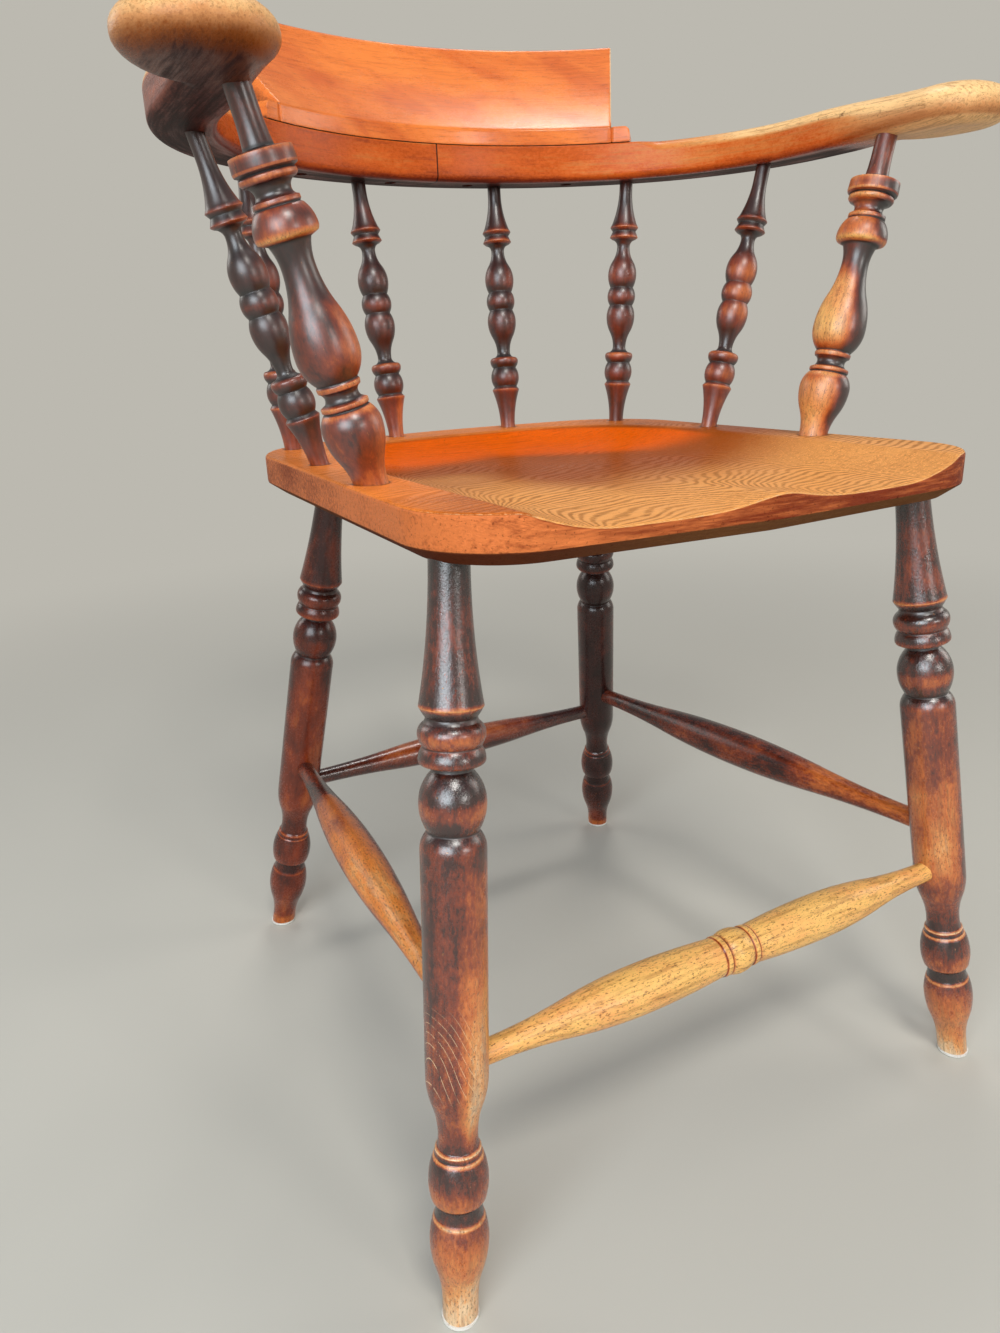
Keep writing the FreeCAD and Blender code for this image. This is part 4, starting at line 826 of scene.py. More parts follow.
# Wear towards one side of a piece, and on some pieces painted light and shade on one side: from and to on its
# axis, how much, and the way it faces.
LEG_SIDE_RUBS_AND_SHADE = {
    "leg_front_left": ((128, 232, 0.44, (0.78, -0.62, 0)), (232, 298, 0.22, (0.78, -0.62, 0)),
                       (20, 60, 0.1, (0.2, -1, 0)), (312, 334, 0.16, (0.9, -0.45, 0)),
                       (392, 445, 0.1, (1, -0.3, 0))),
    "leg_front_right": ((165, 245, 0.32, (-1, -0.6, 0)), (250, 300, 0.2, (-1, -0.6, 0)),
                        (392, 460, 0.06, (-1, -0.6, 0))),
    "leg_back_left": ((150, 300, 0.1, (-0.2, -1, 0)),),
    # The back right leg is painted darker on the side that faces the front, as shade.
    "leg_back_right": ((0, 480, -0.12, (-0.41, -0.91, 0)),),
}
SPINDLE_SIDE_RUBS_AND_LIGHT = {
    "arm_support_left": ((66, 105, 0.24, (1, -0.2, 0)), (0, 42, 0.2, (1, -0.2, 0))),
    # The right support is painted golden on its left side, partly as wear and partly as a highlight, and
    # darker on its front right as painted shade.
    "arm_support_right": ((64, 120, 0.62, (-1, -0.15, 0)), (4, 44, 0.5, (-1, -0.2, 0)),
                          (140, 184, 0.3, (-1, -0.2, 0)), (0, 190, -0.16, (0.4, -1, 0))),
    "spindle_side_right": ((86, 140, 0.22, (-0.6, -0.8, 0)), (38, 56, 0.16, (-0.6, -0.8, 0))),
    "spindle_corner_right": ((60, 150, 0.08, (-0.5, -0.8, 0)),),
    "spindle_side_left": ((0, 205, -0.08, (-0.5, -0.85, 0)),),
    "spindle_back_left": ((0, 34, 0.3, (1, -0.4, 0)),),
}
# Plain ends that run on past the joints, and how much of them is made here.
LEG_END, LEG_SUNK = 6, 2
SPINDLE_ENDS, SPINDLE_SUNK = (8, 12), (4, 5)
# Scratches on the left front leg: the heights where they start and stop, and the way they face.
SCUFF_START, SCUFF_STOP, SCUFF_FACING = (150, 168), (200, 218), (-0.76, -0.65, 0.0)


class CHAIR_OT_legs(bpy.types.Operator):
    """Turn the four legs"""
    bl_idname = "chair.legs"
    bl_label = "Legs"

    def execute(self, context):
        tint = colours()
        front = turned_finish("front_leg_varnish", (tint.rubbed, tint.worn, tint.bare), 0.65, pebbled=0.75)
        back = turned_finish("back_leg_varnish", (tint.rubbed, tint.rubbed, tint.worn), 0.25, shine=0.4)
        # The back legs keep less of their wear, partly as less wear and partly as painted shade under the
        # seat.
        back_rubs_and_shade = tuple((place, share if place < 8 else 0.17 + 0.3 * share) for place, share in LEG_RUBS_AND_LIGHT)
        looks = {"front": (front, LEG_RUBS_AND_LIGHT), "back": (back, back_rubs_and_shade)}
        seed = 0
        for place, axis in LEG_AXES.items():
            finish, rubs = looks[place]
            for side, (foot, top) in both_sides(axis):
                seed += 1
                name = "leg_%s_%s" % (place, side)
                length = math.dist(foot, top)
                end = ((length, LEG_TOP_WIDTH, "shaft"), (length + LEG_END, LEG_TOP_WIDTH, "shaft"))
                rise = (top[2] - foot[2]) / length
                run = (PAD_THICKNESS / rise, length + LEG_SUNK)
                piece = turn_piece(name, LEG_TURNING + end, foot, top, run, finish, "turned_wood", rubs,
                                   LEG_SIDE_RUBS_AND_SHADE[name], True, seed)
                if name == "leg_front_left":
                    height, facing = mesh_points(piece.data)[:, 2], point_normals(piece.data) @ SCUFF_FACING
                    band = smooth_step(height, *SCUFF_START) * (1 - smooth_step(height, *SCUFF_STOP))
                    paint(piece.data, scuff=band * smooth_step(facing, 0.2, 0.75))
        return {"FINISHED"}


class CHAIR_OT_foot_pads(bpy.types.Operator):
    """Make the thin white pads under the feet"""
    bl_idname = "chair.foot_pads"
    bl_label = "Foot pads"

    def execute(self, context):
        finish = plain_finish("pad_white", colours().pad, (0.25, 0.25, 0.6), 0.7, (0.52, 0.7, 0.68),
                              (0.6, 0.3), 0.0002)
        for place, (foot, _) in LEG_AXES.items():
            for side, axis in both_sides((foot, (*foot[:2], 10))):
                turn_piece("foot_pad_%s_%s" % (place, side), PAD_TURNING, *axis, (0, PAD_THICKNESS),
                           finish, "foot_pad", ((0, 0), (PAD_THICKNESS, 0)))
        return {"FINISHED"}


class CHAIR_OT_spindles(bpy.types.Operator):
    """Turn the six spindles and the two arm supports"""
    bl_idname = "chair.spindles"
    bl_label = "Spindles and arm supports"

    def execute(self, context):
        tint = colours()
        thin = turned_finish("spindle_varnish", (tint.rubbed, tint.rubbed, tint.worn), 0.24, 0.5,
                             coat=0.05, satin=0.12, pebbled=0.2)
        thick = turned_finish("support_varnish", (tint.rubbed, tint.worn, tint.gold), 0.42, 0.8,
                              coat=0.08, satin=0.1, pebbled=0.25)
        seed = 10
        for label, axis in SPINDLE_AXES.items():
            stations, rubs, finish = SPINDLE_TURNING, SPINDLE_RUBS, thin
            if label == "arm_support":
                stations, rubs, finish = SUPPORT_TURNING, SUPPORT_RUBS, thick
            for side, (foot, top) in both_sides(axis):
                seed += 1
                name = "%s_%s" % (label, side)
                length = math.dist(foot, top)
                below = ((-SPINDLE_ENDS[0], stations[0][1], "shaft"),)
                above = ((length + SPINDLE_ENDS[1], stations[-1][1], "shaft"),)
                run = (-SPINDLE_SUNK[0], length + SPINDLE_SUNK[1])
                turn_piece(name, below + stations + above, foot, top, run, finish, "turned_wood", rubs,
                           SPINDLE_SIDE_RUBS_AND_LIGHT.get(name, ()), seed=seed)
        return {"FINISHED"}


# Each stretcher: its turning, the width of its ends, the two places on legs that it joins (leg, height
# and whether it is the left one), its wear in even steps along it, and its wear towards one side, which also
# paints shade and highlights.
STRETCHERS = {
    "stretcher_front": (
        FRONT_STRETCHER_TURNING, 15, ("front", 168, True), ("front", 168, False),
        # The front stretcher's underside is painted darker as shade.
        (0.94, 0.96, 1.0, 0.98, 0.9), ((0, 440, -0.24, (0, 0.3, -1)),)),
    "stretcher_back": (
        BACK_STRETCHER_TURNING, 14.6, ("back", 168, True), ("back", 168, False),
        (0.2, 0.28, 0.32, 0.28, 0.2), ((80, 260, 0.14, (0, -0.4, 1)),)),
    # The side stretchers' faces towards the light are painted paler, partly as a highlight.
    "stretcher_left": (
        SIDE_STRETCHER_TURNING, 15, ("front", 201, True), ("back", 190, True),
        (0.34, 0.36, 0.3, 0.18, 0.24),
        ((20, 190, 0.5, (-0.5, 0, 0.87)), (190, 310, 0.34, (-0.5, 0, 0.87)))),
    "stretcher_right": (
        SIDE_STRETCHER_TURNING, 15, ("front", 201, False), ("back", 190, False),
        (0.4, 0.34, 0.28, 0.26, 0.24), ((20, 110, 0.16, (-0.6, -0.2, 1)),)),
}
# Distances from the middle of the leg: where the piece starts, where it shows and where its taper starts.
STRETCHER_START, STRETCHER_SHOWS, STRETCHER_TAPER = 14, 18, 18.9
RING_DEPTH, RING_WIDTH = 0.75, 0.6


def on_leg(place, height, on_left):
    """Point of a leg's axis at a height."""
    foot, top = (np.array(point, float) for point in LEG_AXES[place])
    point = tuple(foot + (top - foot) * height / top[2])
    return mirrored(point) if on_left else point


class CHAIR_OT_stretchers(bpy.types.Operator):
    """Turn the four stretchers between the legs"""
    bl_idname = "chair.stretchers"
    bl_label = "Stretchers"

    def execute(self, context):
        tint = colours()
        front = turned_finish("front_stretcher_gold", (tint.rubbed, tint.honey, tint.gold), 0.45,
                              coat=0.08, shine=0.5)
        side = turned_finish("side_stretcher_honey", (tint.rubbed, tint.amber, tint.honey), 0.7,
                             coat=0.08, shine=0.5)
        back = turned_finish("back_stretcher_varnish", (tint.rubbed, tint.rubbed, tint.worn), 0.3, shine=0.8)
        looks = {"stretcher_front": (front, "front_stretcher_wood"), "stretcher_back": (back, "turned_wood")}
        for seed, (name, row) in enumerate(STRETCHERS.items(), 20):
            turning, end_width, first, second, shares, side_rubs_and_light = row
            finish, slot = looks.get(name, (side, "side_stretcher_wood"))
            start, end = on_leg(*first), on_leg(*second)
            half = math.dist(start, end) / 2
            outward = turning + ((half - STRETCHER_TAPER, end_width, "shaft"), (half, end_width, "shaft"))
            before = tuple((half - level, width, kind) for level, width, kind in reversed(outward))
            after = tuple((half + level, width, kind) for level, width, kind in outward[1:])
            run = (STRETCHER_START, 2 * half - STRETCHER_START)
            reach = np.arange(*run, OUTLINE_STEP)
            spread = np.linspace(STRETCHER_SHOWS, 2 * half - STRETCHER_SHOWS, len(shares))
            level = np.interp(reach, spread, shares)
            for ring in (RING_LINES if name == "stretcher_front" else ()):
                level -= RING_DEPTH * np.exp(-((np.abs(reach - half) - ring) / RING_WIDTH) ** 2)
            turn_piece(name, before + after, start, end, run, finish, slot, tuple(zip(reach, level)),
                       side_rubs_and_light, seed=seed)
        return {"FINISHED"}


# Seat: a rounded plank in rings, hollowed to a saddle. Each corner has its place and its radius.
SEAT_BACK, SEAT_FRONT = 203, 246
SEAT_CORNERS = (
    (0, SEAT_BACK, 500), (191, 181, 85), (204.5, -232, 64),
    (0, -SEAT_FRONT, 60), (-204.5, -232, 64), (-191, 181, 85),
)
SEAT_CHAMFER = (12, 8.5)
SEAT_MIDDLE = (0.0, -15.0)
SEAT_POINTS_ROUND = 440
SADDLE_HALF_WIDTH, SADDLE_BACK, SADDLE_WALL, SADDLE_SQUARENESS = 160, 154, 58, 2.8
SADDLE_DEPTH_BACK, SADDLE_DEPTH_FRONT = 17, 12.5
RIDGE_HEIGHT, RIDGE_LENGTH, RIDGE_HALF_WIDTH = 7, 190, 30
SADDLE_LIP = 0.5


def seat_outline(count):
    """Even points round the seat's plan and their outward directions."""
    corners = [np.array(corner[:2], float) for corner in SEAT_CORNERS]
    line = []
    for index, here in enumerate(corners):
        radius = SEAT_CORNERS[index][2]
        back = corners[index - 1] - here
        ahead = corners[(index + 1) % len(corners)] - here
        back /= np.linalg.norm(back)
        ahead /= np.linalg.norm(ahead)
        half = math.acos(np.clip(back @ ahead, -1, 1)) / 2
        middle = (back + ahead) / np.linalg.norm(back + ahead)
        hub = here + middle * radius / math.sin(half)
        first = here + back * radius / math.tan(half) - hub
        last = here + ahead * radius / math.tan(half) - hub
        sweep = math.atan2(first[0] * last[1] - first[1] * last[0], first @ last)
        for turn in np.linspace(0, sweep, 40):
            line.append(hub + (first[0] * math.cos(turn) - first[1] * math.sin(turn),
                               first[0] * math.sin(turn) + first[1] * math.cos(turn)))
    line = even_points(line, 1.0, closed=True)
    line = even_points(line, len(line) / count, closed=True)
    ahead = np.roll(line, -1, 0) - np.roll(line, 1, 0)
    outward = np.column_stack((-ahead[:, 1], ahead[:, 0]))
    return line, outward / np.linalg.norm(outward, axis=1)[:, None]


def saddle_drop(x, y):
    """How far the saddle lies below the rim; less than nothing outside its edge."""
    across = np.abs(x) / SADDLE_HALF_WIDTH
    behind = np.maximum(y, 0) / SADDLE_BACK
    out = (across ** SADDLE_SQUARENESS + behind ** SADDLE_SQUARENESS) ** (1 / SADDLE_SQUARENESS)
    inset = (1 - out) * SADDLE_HALF_WIDTH / SADDLE_WALL
    fill = np.where(inset < 0, 2 * inset, 1 - (1 - np.minimum(inset, 1)) ** 2)
    fall = SADDLE_DEPTH_BACK - SADDLE_DEPTH_FRONT
    depth = SADDLE_DEPTH_BACK - fall * (SEAT_BACK - y) / (SEAT_BACK + SEAT_FRONT)
    ridge = RIDGE_HEIGHT * np.maximum(0, 1 - (y + SEAT_FRONT) / RIDGE_LENGTH) ** 1.5
    return depth * fill - ridge * np.exp(-(np.abs(x) / RIDGE_HALF_WIDTH) ** 1.7)


def saddle_top(x, y):
    """Height of the seat's top, with a soft lip where the saddle begins."""
    drop = saddle_drop(x, y)
    return SEAT_TOP - 0.5 * (drop + np.sqrt(drop * drop + SADDLE_LIP))


def seat_mesh():
    """Rings from the middle of the top over the edge to the middle of the underside."""
    edge = sizes().seat_edge / MM
    line, outward = seat_outline(SEAT_POINTS_ROUND)
    inner = line - outward * edge
    middle = np.array(SEAT_MIDDLE)
    rings = []

    def ring(plan, height):
        rings.append(np.column_stack((plan, np.broadcast_to(height, len(plan)))))

    for share in np.linspace(0, 1, 90)[1:]:
        plan = middle + (inner - middle) * share
        ring(plan, saddle_top(*plan.T))
    lip = rings[-1][:, 2]
    for turn in np.linspace(0, math.pi / 2, 7)[1:]:
        ring(line - outward * edge * (1 - math.sin(turn)), lip - edge * (1 - math.cos(turn)))
    low = SEAT_UNDER + SEAT_CHAMFER[1]
    for share in (0.2, 0.4, 0.6, 0.8, 0.94):
        ring(line, (lip - edge) * (1 - share) + low * share)
    for share in (0.03, 0.12, 0.35, 0.65, 0.92, 0.99):
        ring(line - outward * SEAT_CHAMFER[0] * share, low - SEAT_CHAMFER[1] * share)
    foot = line - outward * SEAT_CHAMFER[0]
    for share in np.linspace(1, 0, 14)[:-1] * 0.995:
        ring(middle + (foot - middle) * share, SEAT_UNDER)
    columns = len(line)
    points = np.vstack(rings + [[(*middle, saddle_top(*middle))], [(*middle, SEAT_UNDER)]])
    faces = grid_faces(len(rings), columns, closed=True)
    top, bottom, last = len(points) - 2, len(points) - 1, (len(rings) - 1) * columns
    for index in range(columns):
        after = (index + 1) % columns
        faces.append((top, after, index))
        faces.append((bottom, last + index, last + after))
    return solid_mesh("seat", points, faces)


class CHAIR_OT_seat(bpy.types.Operator):
    """Shape the saddled seat"""
    bl_idname = "chair.seat"
    bl_label = "Seat"

    def execute(self, context):
        mesh = seat_mesh()
        piece = new_piece("seat", mesh)
        x, y = mesh_points(mesh)[:, :2].T
        up = point_normals(mesh)[:, 2]
        drop = saddle_drop(x, y)
        on_top = smooth_step(up, 0.25, 0.7)
        inside = smooth_step(drop, -0.5, 4.0)
        # The golden front is wear, with painted sheen: the right front counts as worn, the gradient leans to
        # the right and the left front gets more golden.
        worn = np.maximum(inside, smooth_step(x, 40, 130) * smooth_step(-y, -60, 60))
        golden = smooth_step(-y + 0.25 * x, 10, 215)
        golden = golden + 0.6 * smooth_step(-x, 20, 90) * smooth_step(-y, -60, 20)
        # Painted shade on the seat's walls: darker towards the right and the back.
        painted_wall_shade = smooth_step(x, -220, 0) + 0.55 * smooth_step(y, -150, 50)
        lip_line = np.exp(-((up - 0.72) / 0.2) ** 2)
        # Grime and painted shade along the back of the saddle's lip and round the feet of the spindles and
        # supports.
        grime = 0.4 * np.exp(-((drop - 0.3) / 1.2) ** 2) * on_top * smooth_step(y, 60, 140)
        for label, (foot, _) in SPINDLE_AXES.items():
            width = 12 if label == "arm_support" else 8
            for out in (foot[0], -foot[0]):
                gap = np.hypot(x - out, y - foot[1])
                grime = np.maximum(grime, 0.7 * on_top * (1 - smooth_step(gap, width - 1, width + 3)))
        paint(mesh,
              cove=on_top * inside * smooth_step(y + 0.25 * np.abs(x) + 0.3 * np.maximum(x, 0), 45, 150),
              front=on_top * worn * np.minimum(golden, 1) + (1 - on_top) * np.minimum(painted_wall_shade, 1),
              # The pale line along the top edge is wear and a painted highlight, stronger at the front.
              edge=lip_line * (0.25 + 0.35 * smooth_step(-y, 120, 220)) * (up > 0),
              # The rim's share grows towards the left and the back; on the left this is painted sheen.
              rim=on_top * (1 - worn) * (0.55 + 0.45 * smooth_step(y - x, -60, 160)),
              side=1 - smooth_step(np.abs(up), 0.4, 0.75),
              under=smooth_step(-up, 0.3, 0.6),
              grime=grime)
        settle(piece, seat_finish(), "seat_wood", "seat")
        return {"FINISHED"}


# Bow: each half is drawn from its middle line out to the edge of its plan. Its first rows lie close
# together beside the butt joint at the middle of the back.
JOINT_ROWS, NEXT_ROW = (0.06, 0.5, 1.0), 2.6
LAND_ROUND, LAND_EASE = 1.2, 26
TOP_ROUND, PADDLE_TOP_SPREAD = (11.5, 9.5), 21
UNDER_ROUND, PADDLE_UNDER = 5.5, (14, 5.5)
FULLEST_ROUND = 0.97
SCREW_HOLE_RADIUS, SCREW_HOLE_DEPTH, SCREW_HOLE_SIDES = 5, 7, 32


def arc_row(centre, radius, angle):
    """Middle, inner and outer plan points of the bow at an angle on one of its arcs."""
    row = []
    for reach in (radius, radius - BOW_HALF_WIDTH, radius + BOW_HALF_WIDTH):
        row += [centre[0] + reach * math.sin(angle), centre[1] + reach * math.cos(angle)]
    return row


def bow_stations():
    """Middle, inner and outer plan points along the right half of the bow, and the run to each."""
    rows = []
    spread = np.linspace(NEXT_ROW / BACK_RADIUS, SHOULDER_TURN, 71)
    for angle in np.append(np.array(JOINT_ROWS) / BACK_RADIUS, spread):
        rows.append((*arc_row(BACK_CENTRE, BACK_RADIUS, angle), BACK_RADIUS * angle))
    for angle in np.linspace(SHOULDER_TURN, math.pi / 2, 64)[1:]:
        run = BACK_RUN + SHOULDER_RADIUS * (angle - SHOULDER_TURN)
        rows.append((*arc_row(SHOULDER_CENTRE, SHOULDER_RADIUS, angle), run))
    inside, outside = ARM_OUT - BOW_HALF_WIDTH, ARM_OUT + BOW_HALF_WIDTH
    notch_x = outside + NOTCH_RADIUS
    notch_y = PADDLE_REACH + math.sqrt((PADDLE_RADIUS + NOTCH_RADIUS) ** 2 - (notch_x - PADDLE_CENTRE) ** 2)
    meeting = PADDLE_REACH + (notch_y - PADDLE_REACH) * PADDLE_RADIUS / (PADDLE_RADIUS + NOTCH_RADIUS)
    for y in np.linspace(SHOULDER_CENTRE[1], PADDLE_REACH, 76)[1:]:
        edge = outside
        if y < meeting:
            edge = PADDLE_CENTRE + math.sqrt(PADDLE_RADIUS ** 2 - (y - PADDLE_REACH) ** 2)
        elif y < notch_y:
            edge = notch_x - math.sqrt(NOTCH_RADIUS ** 2 - (y - notch_y) ** 2)
        share = float(smooth_step(-y, 30, -PADDLE_REACH))
        rows.append((ARM_OUT + (PADDLE_CENTRE - ARM_OUT) * share, y, inside, y, edge, y,
                     SHOULDER_RUN + SHOULDER_CENTRE[1] - y))
    return np.array(rows)


def bow_place(points):
    """Run along the bow and offset outwards from its middle line, for points on either side."""
    x, y = np.abs(points[:, 0]), points[:, 1]
    turn = np.arctan2(x - SHOULDER_CENTRE[0], y - SHOULDER_CENTRE[1])
    angle = np.arctan2(x, y - BACK_CENTRE[1])
    on_back = angle < SHOULDER_TURN
    on_arm = y < SHOULDER_CENTRE[1]
    run = np.where(on_back, BACK_RADIUS * angle, BACK_RUN + SHOULDER_RADIUS * (turn - SHOULDER_TURN))
    run = np.where(on_arm, SHOULDER_RUN + SHOULDER_CENTRE[1] - y, run)
    offset = np.where(on_back, np.hypot(x, y - BACK_CENTRE[1]) - BACK_RADIUS,
                      np.hypot(x - SHOULDER_CENTRE[0], y - SHOULDER_CENTRE[1]) - SHOULDER_RADIUS)
    return run, np.where(on_arm, x - ARM_OUT, offset)


def arm_section(half_width, run):
    """Half a section of the arm, from the middle of its underside over its edge to its top."""
    land = BACK_RADIUS * math.radians(LAND_ANGLE)
    open_top = float(smooth_step(run, land, land + LAND_EASE))
    hand = float(smooth_step(run, SHOULDER_RUN + 20, PADDLE_RUN - 4))
    fullest = FULLEST_ROUND * half_width
    dome = sizes().paddle_dome / MM
    top_across = min(LAND_ROUND + open_top * (TOP_ROUND[0] - LAND_ROUND) + hand * PADDLE_TOP_SPREAD, fullest)
    top_rise = LAND_ROUND + open_top * (TOP_ROUND[1] - LAND_ROUND) + hand * (dome - TOP_ROUND[1])
    under_across = min(UNDER_ROUND + hand * PADDLE_UNDER[0], fullest)
    under_rise = UNDER_ROUND + hand * PADDLE_UNDER[1]
    rows = []
    for share in np.linspace(0, 1, 8)[:-1]:
        rows.append((share * (half_width - under_across), BOW_UNDER))
    for turn in np.linspace(0, math.pi / 2, 9):
        across = half_width - under_across * (1 - math.sin(turn))
        rows.append((across, BOW_UNDER + under_rise * (1 - math.cos(turn))))
    low, high = BOW_UNDER + under_rise, BOW_TOP - top_rise
    rows += [(half_width, low + (high - low) * share) for share in (0.33, 0.67)]
    for turn in np.linspace(0, math.pi / 2, 11):
        across = half_width - top_across * (1 - math.cos(turn))
        rows.append((across, BOW_TOP - top_rise * (1 - math.sin(turn))))
    for share in np.linspace(1, 0, 8)[1:]:
        rows.append((share * (half_width - top_across), BOW_TOP))
    return np.array(rows)


def arm_mesh(name, side):
    """One half of the bow: sections along its inner edge, round the paddle and back along its outer edge."""
    stations = bow_stations()
    hub = np.array((PADDLE_CENTRE, PADDLE_REACH))
    border = [(row[:2], row[2:4], row[6]) for row in stations]
    for turn in np.linspace(math.pi, 2 * math.pi, 50)[1:-1]:
        edge = hub + PADDLE_RADIUS * np.array((math.cos(turn), math.sin(turn)))
        border.append((hub, edge, PADDLE_RUN))
    border += [(row[:2], row[4:6], row[6]) for row in stations[::-1]]
    rows = []
    for middle, edge, run in border:
        reach = np.linalg.norm(edge - middle)
        section = arm_section(reach, run)
        plan = middle + section[:, :1] * (edge - middle) / reach
        rows.append(np.column_stack((plan, section[:, 1])))
    columns = len(rows[0])
    points = np.vstack(rows)
    points[:, 0] *= side
    faces = grid_faces(len(rows), columns)
    last = (len(rows) - 1) * columns
    faces.append(list(range(columns)) + list(range(last + columns - 2, last, -1)))
    return solid_mesh(name, points, faces)


def bore_screw_holes(piece, side):
    """Cut the counterbores of the crest's screws into the underside."""
    points, faces = [], []
    count = SCREW_HOLE_SIDES
    for angle in map(math.radians, SCREW_ANGLES):
        base = len(points)
        x = side * BACK_RADIUS * math.sin(angle)
        y = BACK_CENTRE[1] + BACK_RADIUS * math.cos(angle)
        for height in (BOW_UNDER - 3, BOW_UNDER + SCREW_HOLE_DEPTH):
            for turn in np.linspace(0, 2 * math.pi, count + 1)[:-1]:
                across, ahead = SCREW_HOLE_RADIUS * math.cos(turn), SCREW_HOLE_RADIUS * math.sin(turn)
                points.append((x + across, y + ahead, height))
        faces += [[base + corner for corner in quad] for quad in grid_faces(2, count, closed=True)]
        faces += [list(range(base + count - 1, base - 1, -1)), list(range(base + count, base + 2 * count))]
    mesh = bpy.data.meshes.new("screw_holes")
    mesh.from_pydata((np.array(points) * MM).tolist(), [], faces)
    cutter = new_piece("screw_holes", mesh)
    bore = piece.modifiers.new("bore", "BOOLEAN")
    bore.operation = "DIFFERENCE"
    bore.solver = "EXACT"
    bore.object = cutter
    bpy.context.view_layer.update()
    result = plain_mesh(piece)
    bpy.data.objects.remove(cutter)
    return result


# Wear of each paddle: the heights, as shares of the bow's, between which it grows, and its least and most.
PALM_WEAR = {"arm_right": (0.05, 0.7, 0.38, 1.0), "arm_left": (0.04, 0.66, 0.2, 0.84)}
GRAIN_SHIFT = {"arm_right": 300.0, "arm_left": 900.0}
# The run along the bow in which the grime and painted shade beside the crest end.
CREST_SEAM_END = (184, 189)


class CHAIR_OT_arms(bpy.types.Operator):
    """Shape the two halves of the bow"""
    bl_idname = "chair.arms"
    bl_label = "Arms"

    def execute(self, context):
        finish = arm_finish()
        for name, side in (("arm_right", 1), ("arm_left", -1)):
            piece = new_piece(name, arm_mesh(name, side))
            mesh = bore_screw_holes(piece, side)
            close_mesh(mesh, sharp=50)
            points, normals = mesh_points(mesh), point_normals(mesh)
            run, offset = bow_place(points)
            up = normals[:, 2]
            height = (points[:, 2] - BOW_UNDER) / (BOW_TOP - BOW_UNDER)
            along = smooth_step(run, BACK_RUN + 5, SHOULDER_RUN - 10)
            hand = smooth_step(run, SHOULDER_RUN + 20, PADDLE_RUN - 10)
            inward = smooth_step(-offset, 6, 20)
            below = smooth_step(-up, 0.35, 0.8)
            on_top = smooth_step(up, 0.0, 0.4)
            # The lower edge and the underside are painted darker as shade; the inner face of the back's right
            # half gains more, partly as painted sheen.
            wear = 0.27 + 0.12 * inward - 0.1 * (1 - smooth_step(height, 0.05, 0.3)) - 0.06 * below
            wear += inward * (0.03 + 0.1 * smooth_step(side * run, 60, 180))
            wear = wear * (1 - on_top) + on_top * (0.48 + 0.6 * along)
            reach = np.hypot(np.abs(points[:, 0]) - PADDLE_CENTRE, np.minimum(points[:, 1] - PADDLE_REACH, 0))
            low, high, least, most = PALM_WEAR[name]
            raised = smooth_step(height, low, high)
            outer = smooth_step(reach / PADDLE_RADIUS, 0.45, 1.0)
            wear = wear * (1 - hand) + hand * (least + 0.15 * outer * (1 - raised) + (most - least) * raised)
            # The right paddle's underside is painted paler, partly as wear and partly as painted light from
            # below.
            if name == "arm_right":
                wear += 0.56 * smooth_step(-up, 0.7, 0.97) * hand
            # Dark paint at the butt joint and beside the crest's foot: grime and painted shade between the
            # parts.
            joint = 1 - smooth_step(np.abs(points[:, 0]), 0.35, 0.9)
            seam = smooth_step(height, 0.965, 1.0) * (1 - smooth_step(run, *CREST_SEAM_END))
            grain = np.column_stack((run, offset, points[:, 2])) + GRAIN_SHIFT[name]
            paint(mesh, grain=grain, wear=np.clip(wear, 0, MOST_WEAR),
                  grime=np.maximum(0.9 * joint, 0.7 * seam), handled=np.maximum(hand, on_top * along))
            settle(piece, finish, "arm_wood", name)
        return {"FINISHED"}


# Crest: an upright section swept about the bow's back centre, stepping down to a foot at each end.
CREST_FRONT = BACK_RADIUS - BOW_HALF_WIDTH
CREST_MIDDLE = CREST_FRONT + 20
CREST_TALL = CREST_TOP - BOW_TOP
CREST_LEAN, CREST_HOLLOW, CREST_TOP_THICKNESS, CREST_BASE = 57, 4, 11, 41
CREST_FOOT, CREST_FOOT_ROUND, CREST_END_ROUND = 12.5, 5, 1.6
CREST_TURN, CREST_FOOT_TURN = math.radians(34.3), math.radians(37.8)


def crest_section():
    """Closed section of the crest: distance from the back centre and height above the bow."""
    start, end = np.array((CREST_FRONT, CREST_FOOT)), np.array((CREST_FRONT + CREST_LEAN, CREST_TALL))
    chord = end - start
    aside = np.array((chord[1], -chord[0])) / np.linalg.norm(chord)
    share = np.linspace(0, 1, 40)[:, None]
    hollow = start + chord * share + aside * 4 * CREST_HOLLOW * share * (1 - share)
    back_top = np.array((CREST_FRONT + CREST_LEAN + CREST_TOP_THICKNESS, CREST_TALL))
    line = np.vstack(([(CREST_FRONT, 0)], hollow, [back_top], [(CREST_FRONT + CREST_BASE, 0)]))
    line = even_points(line, 1.4, closed=True)
    return bell_smooth(line, 0.62, closed=True)


def shrunk(section, inset):
    """The crest's section drawn in by an inset."""
    ahead = np.roll(section, -1, 0) - np.roll(section, 1, 0)
    aside = np.column_stack((ahead[:, 1], -ahead[:, 0]))
    aside /= np.linalg.norm(aside, axis=1)[:, None]
    return section + aside * inset


def cut_down(section, height):
    """A section whose points above a height lie in one line across it."""
    above = np.flatnonzero(section[:, 1] > height)
    low = section.copy()
    first, last = section[above[0] - 1, 0], section[(above[-1] + 1) % len(section), 0]
    low[above, 0] = np.linspace(first, last, len(above) + 2)[1:-1]
    low[above, 1] = height
    return low


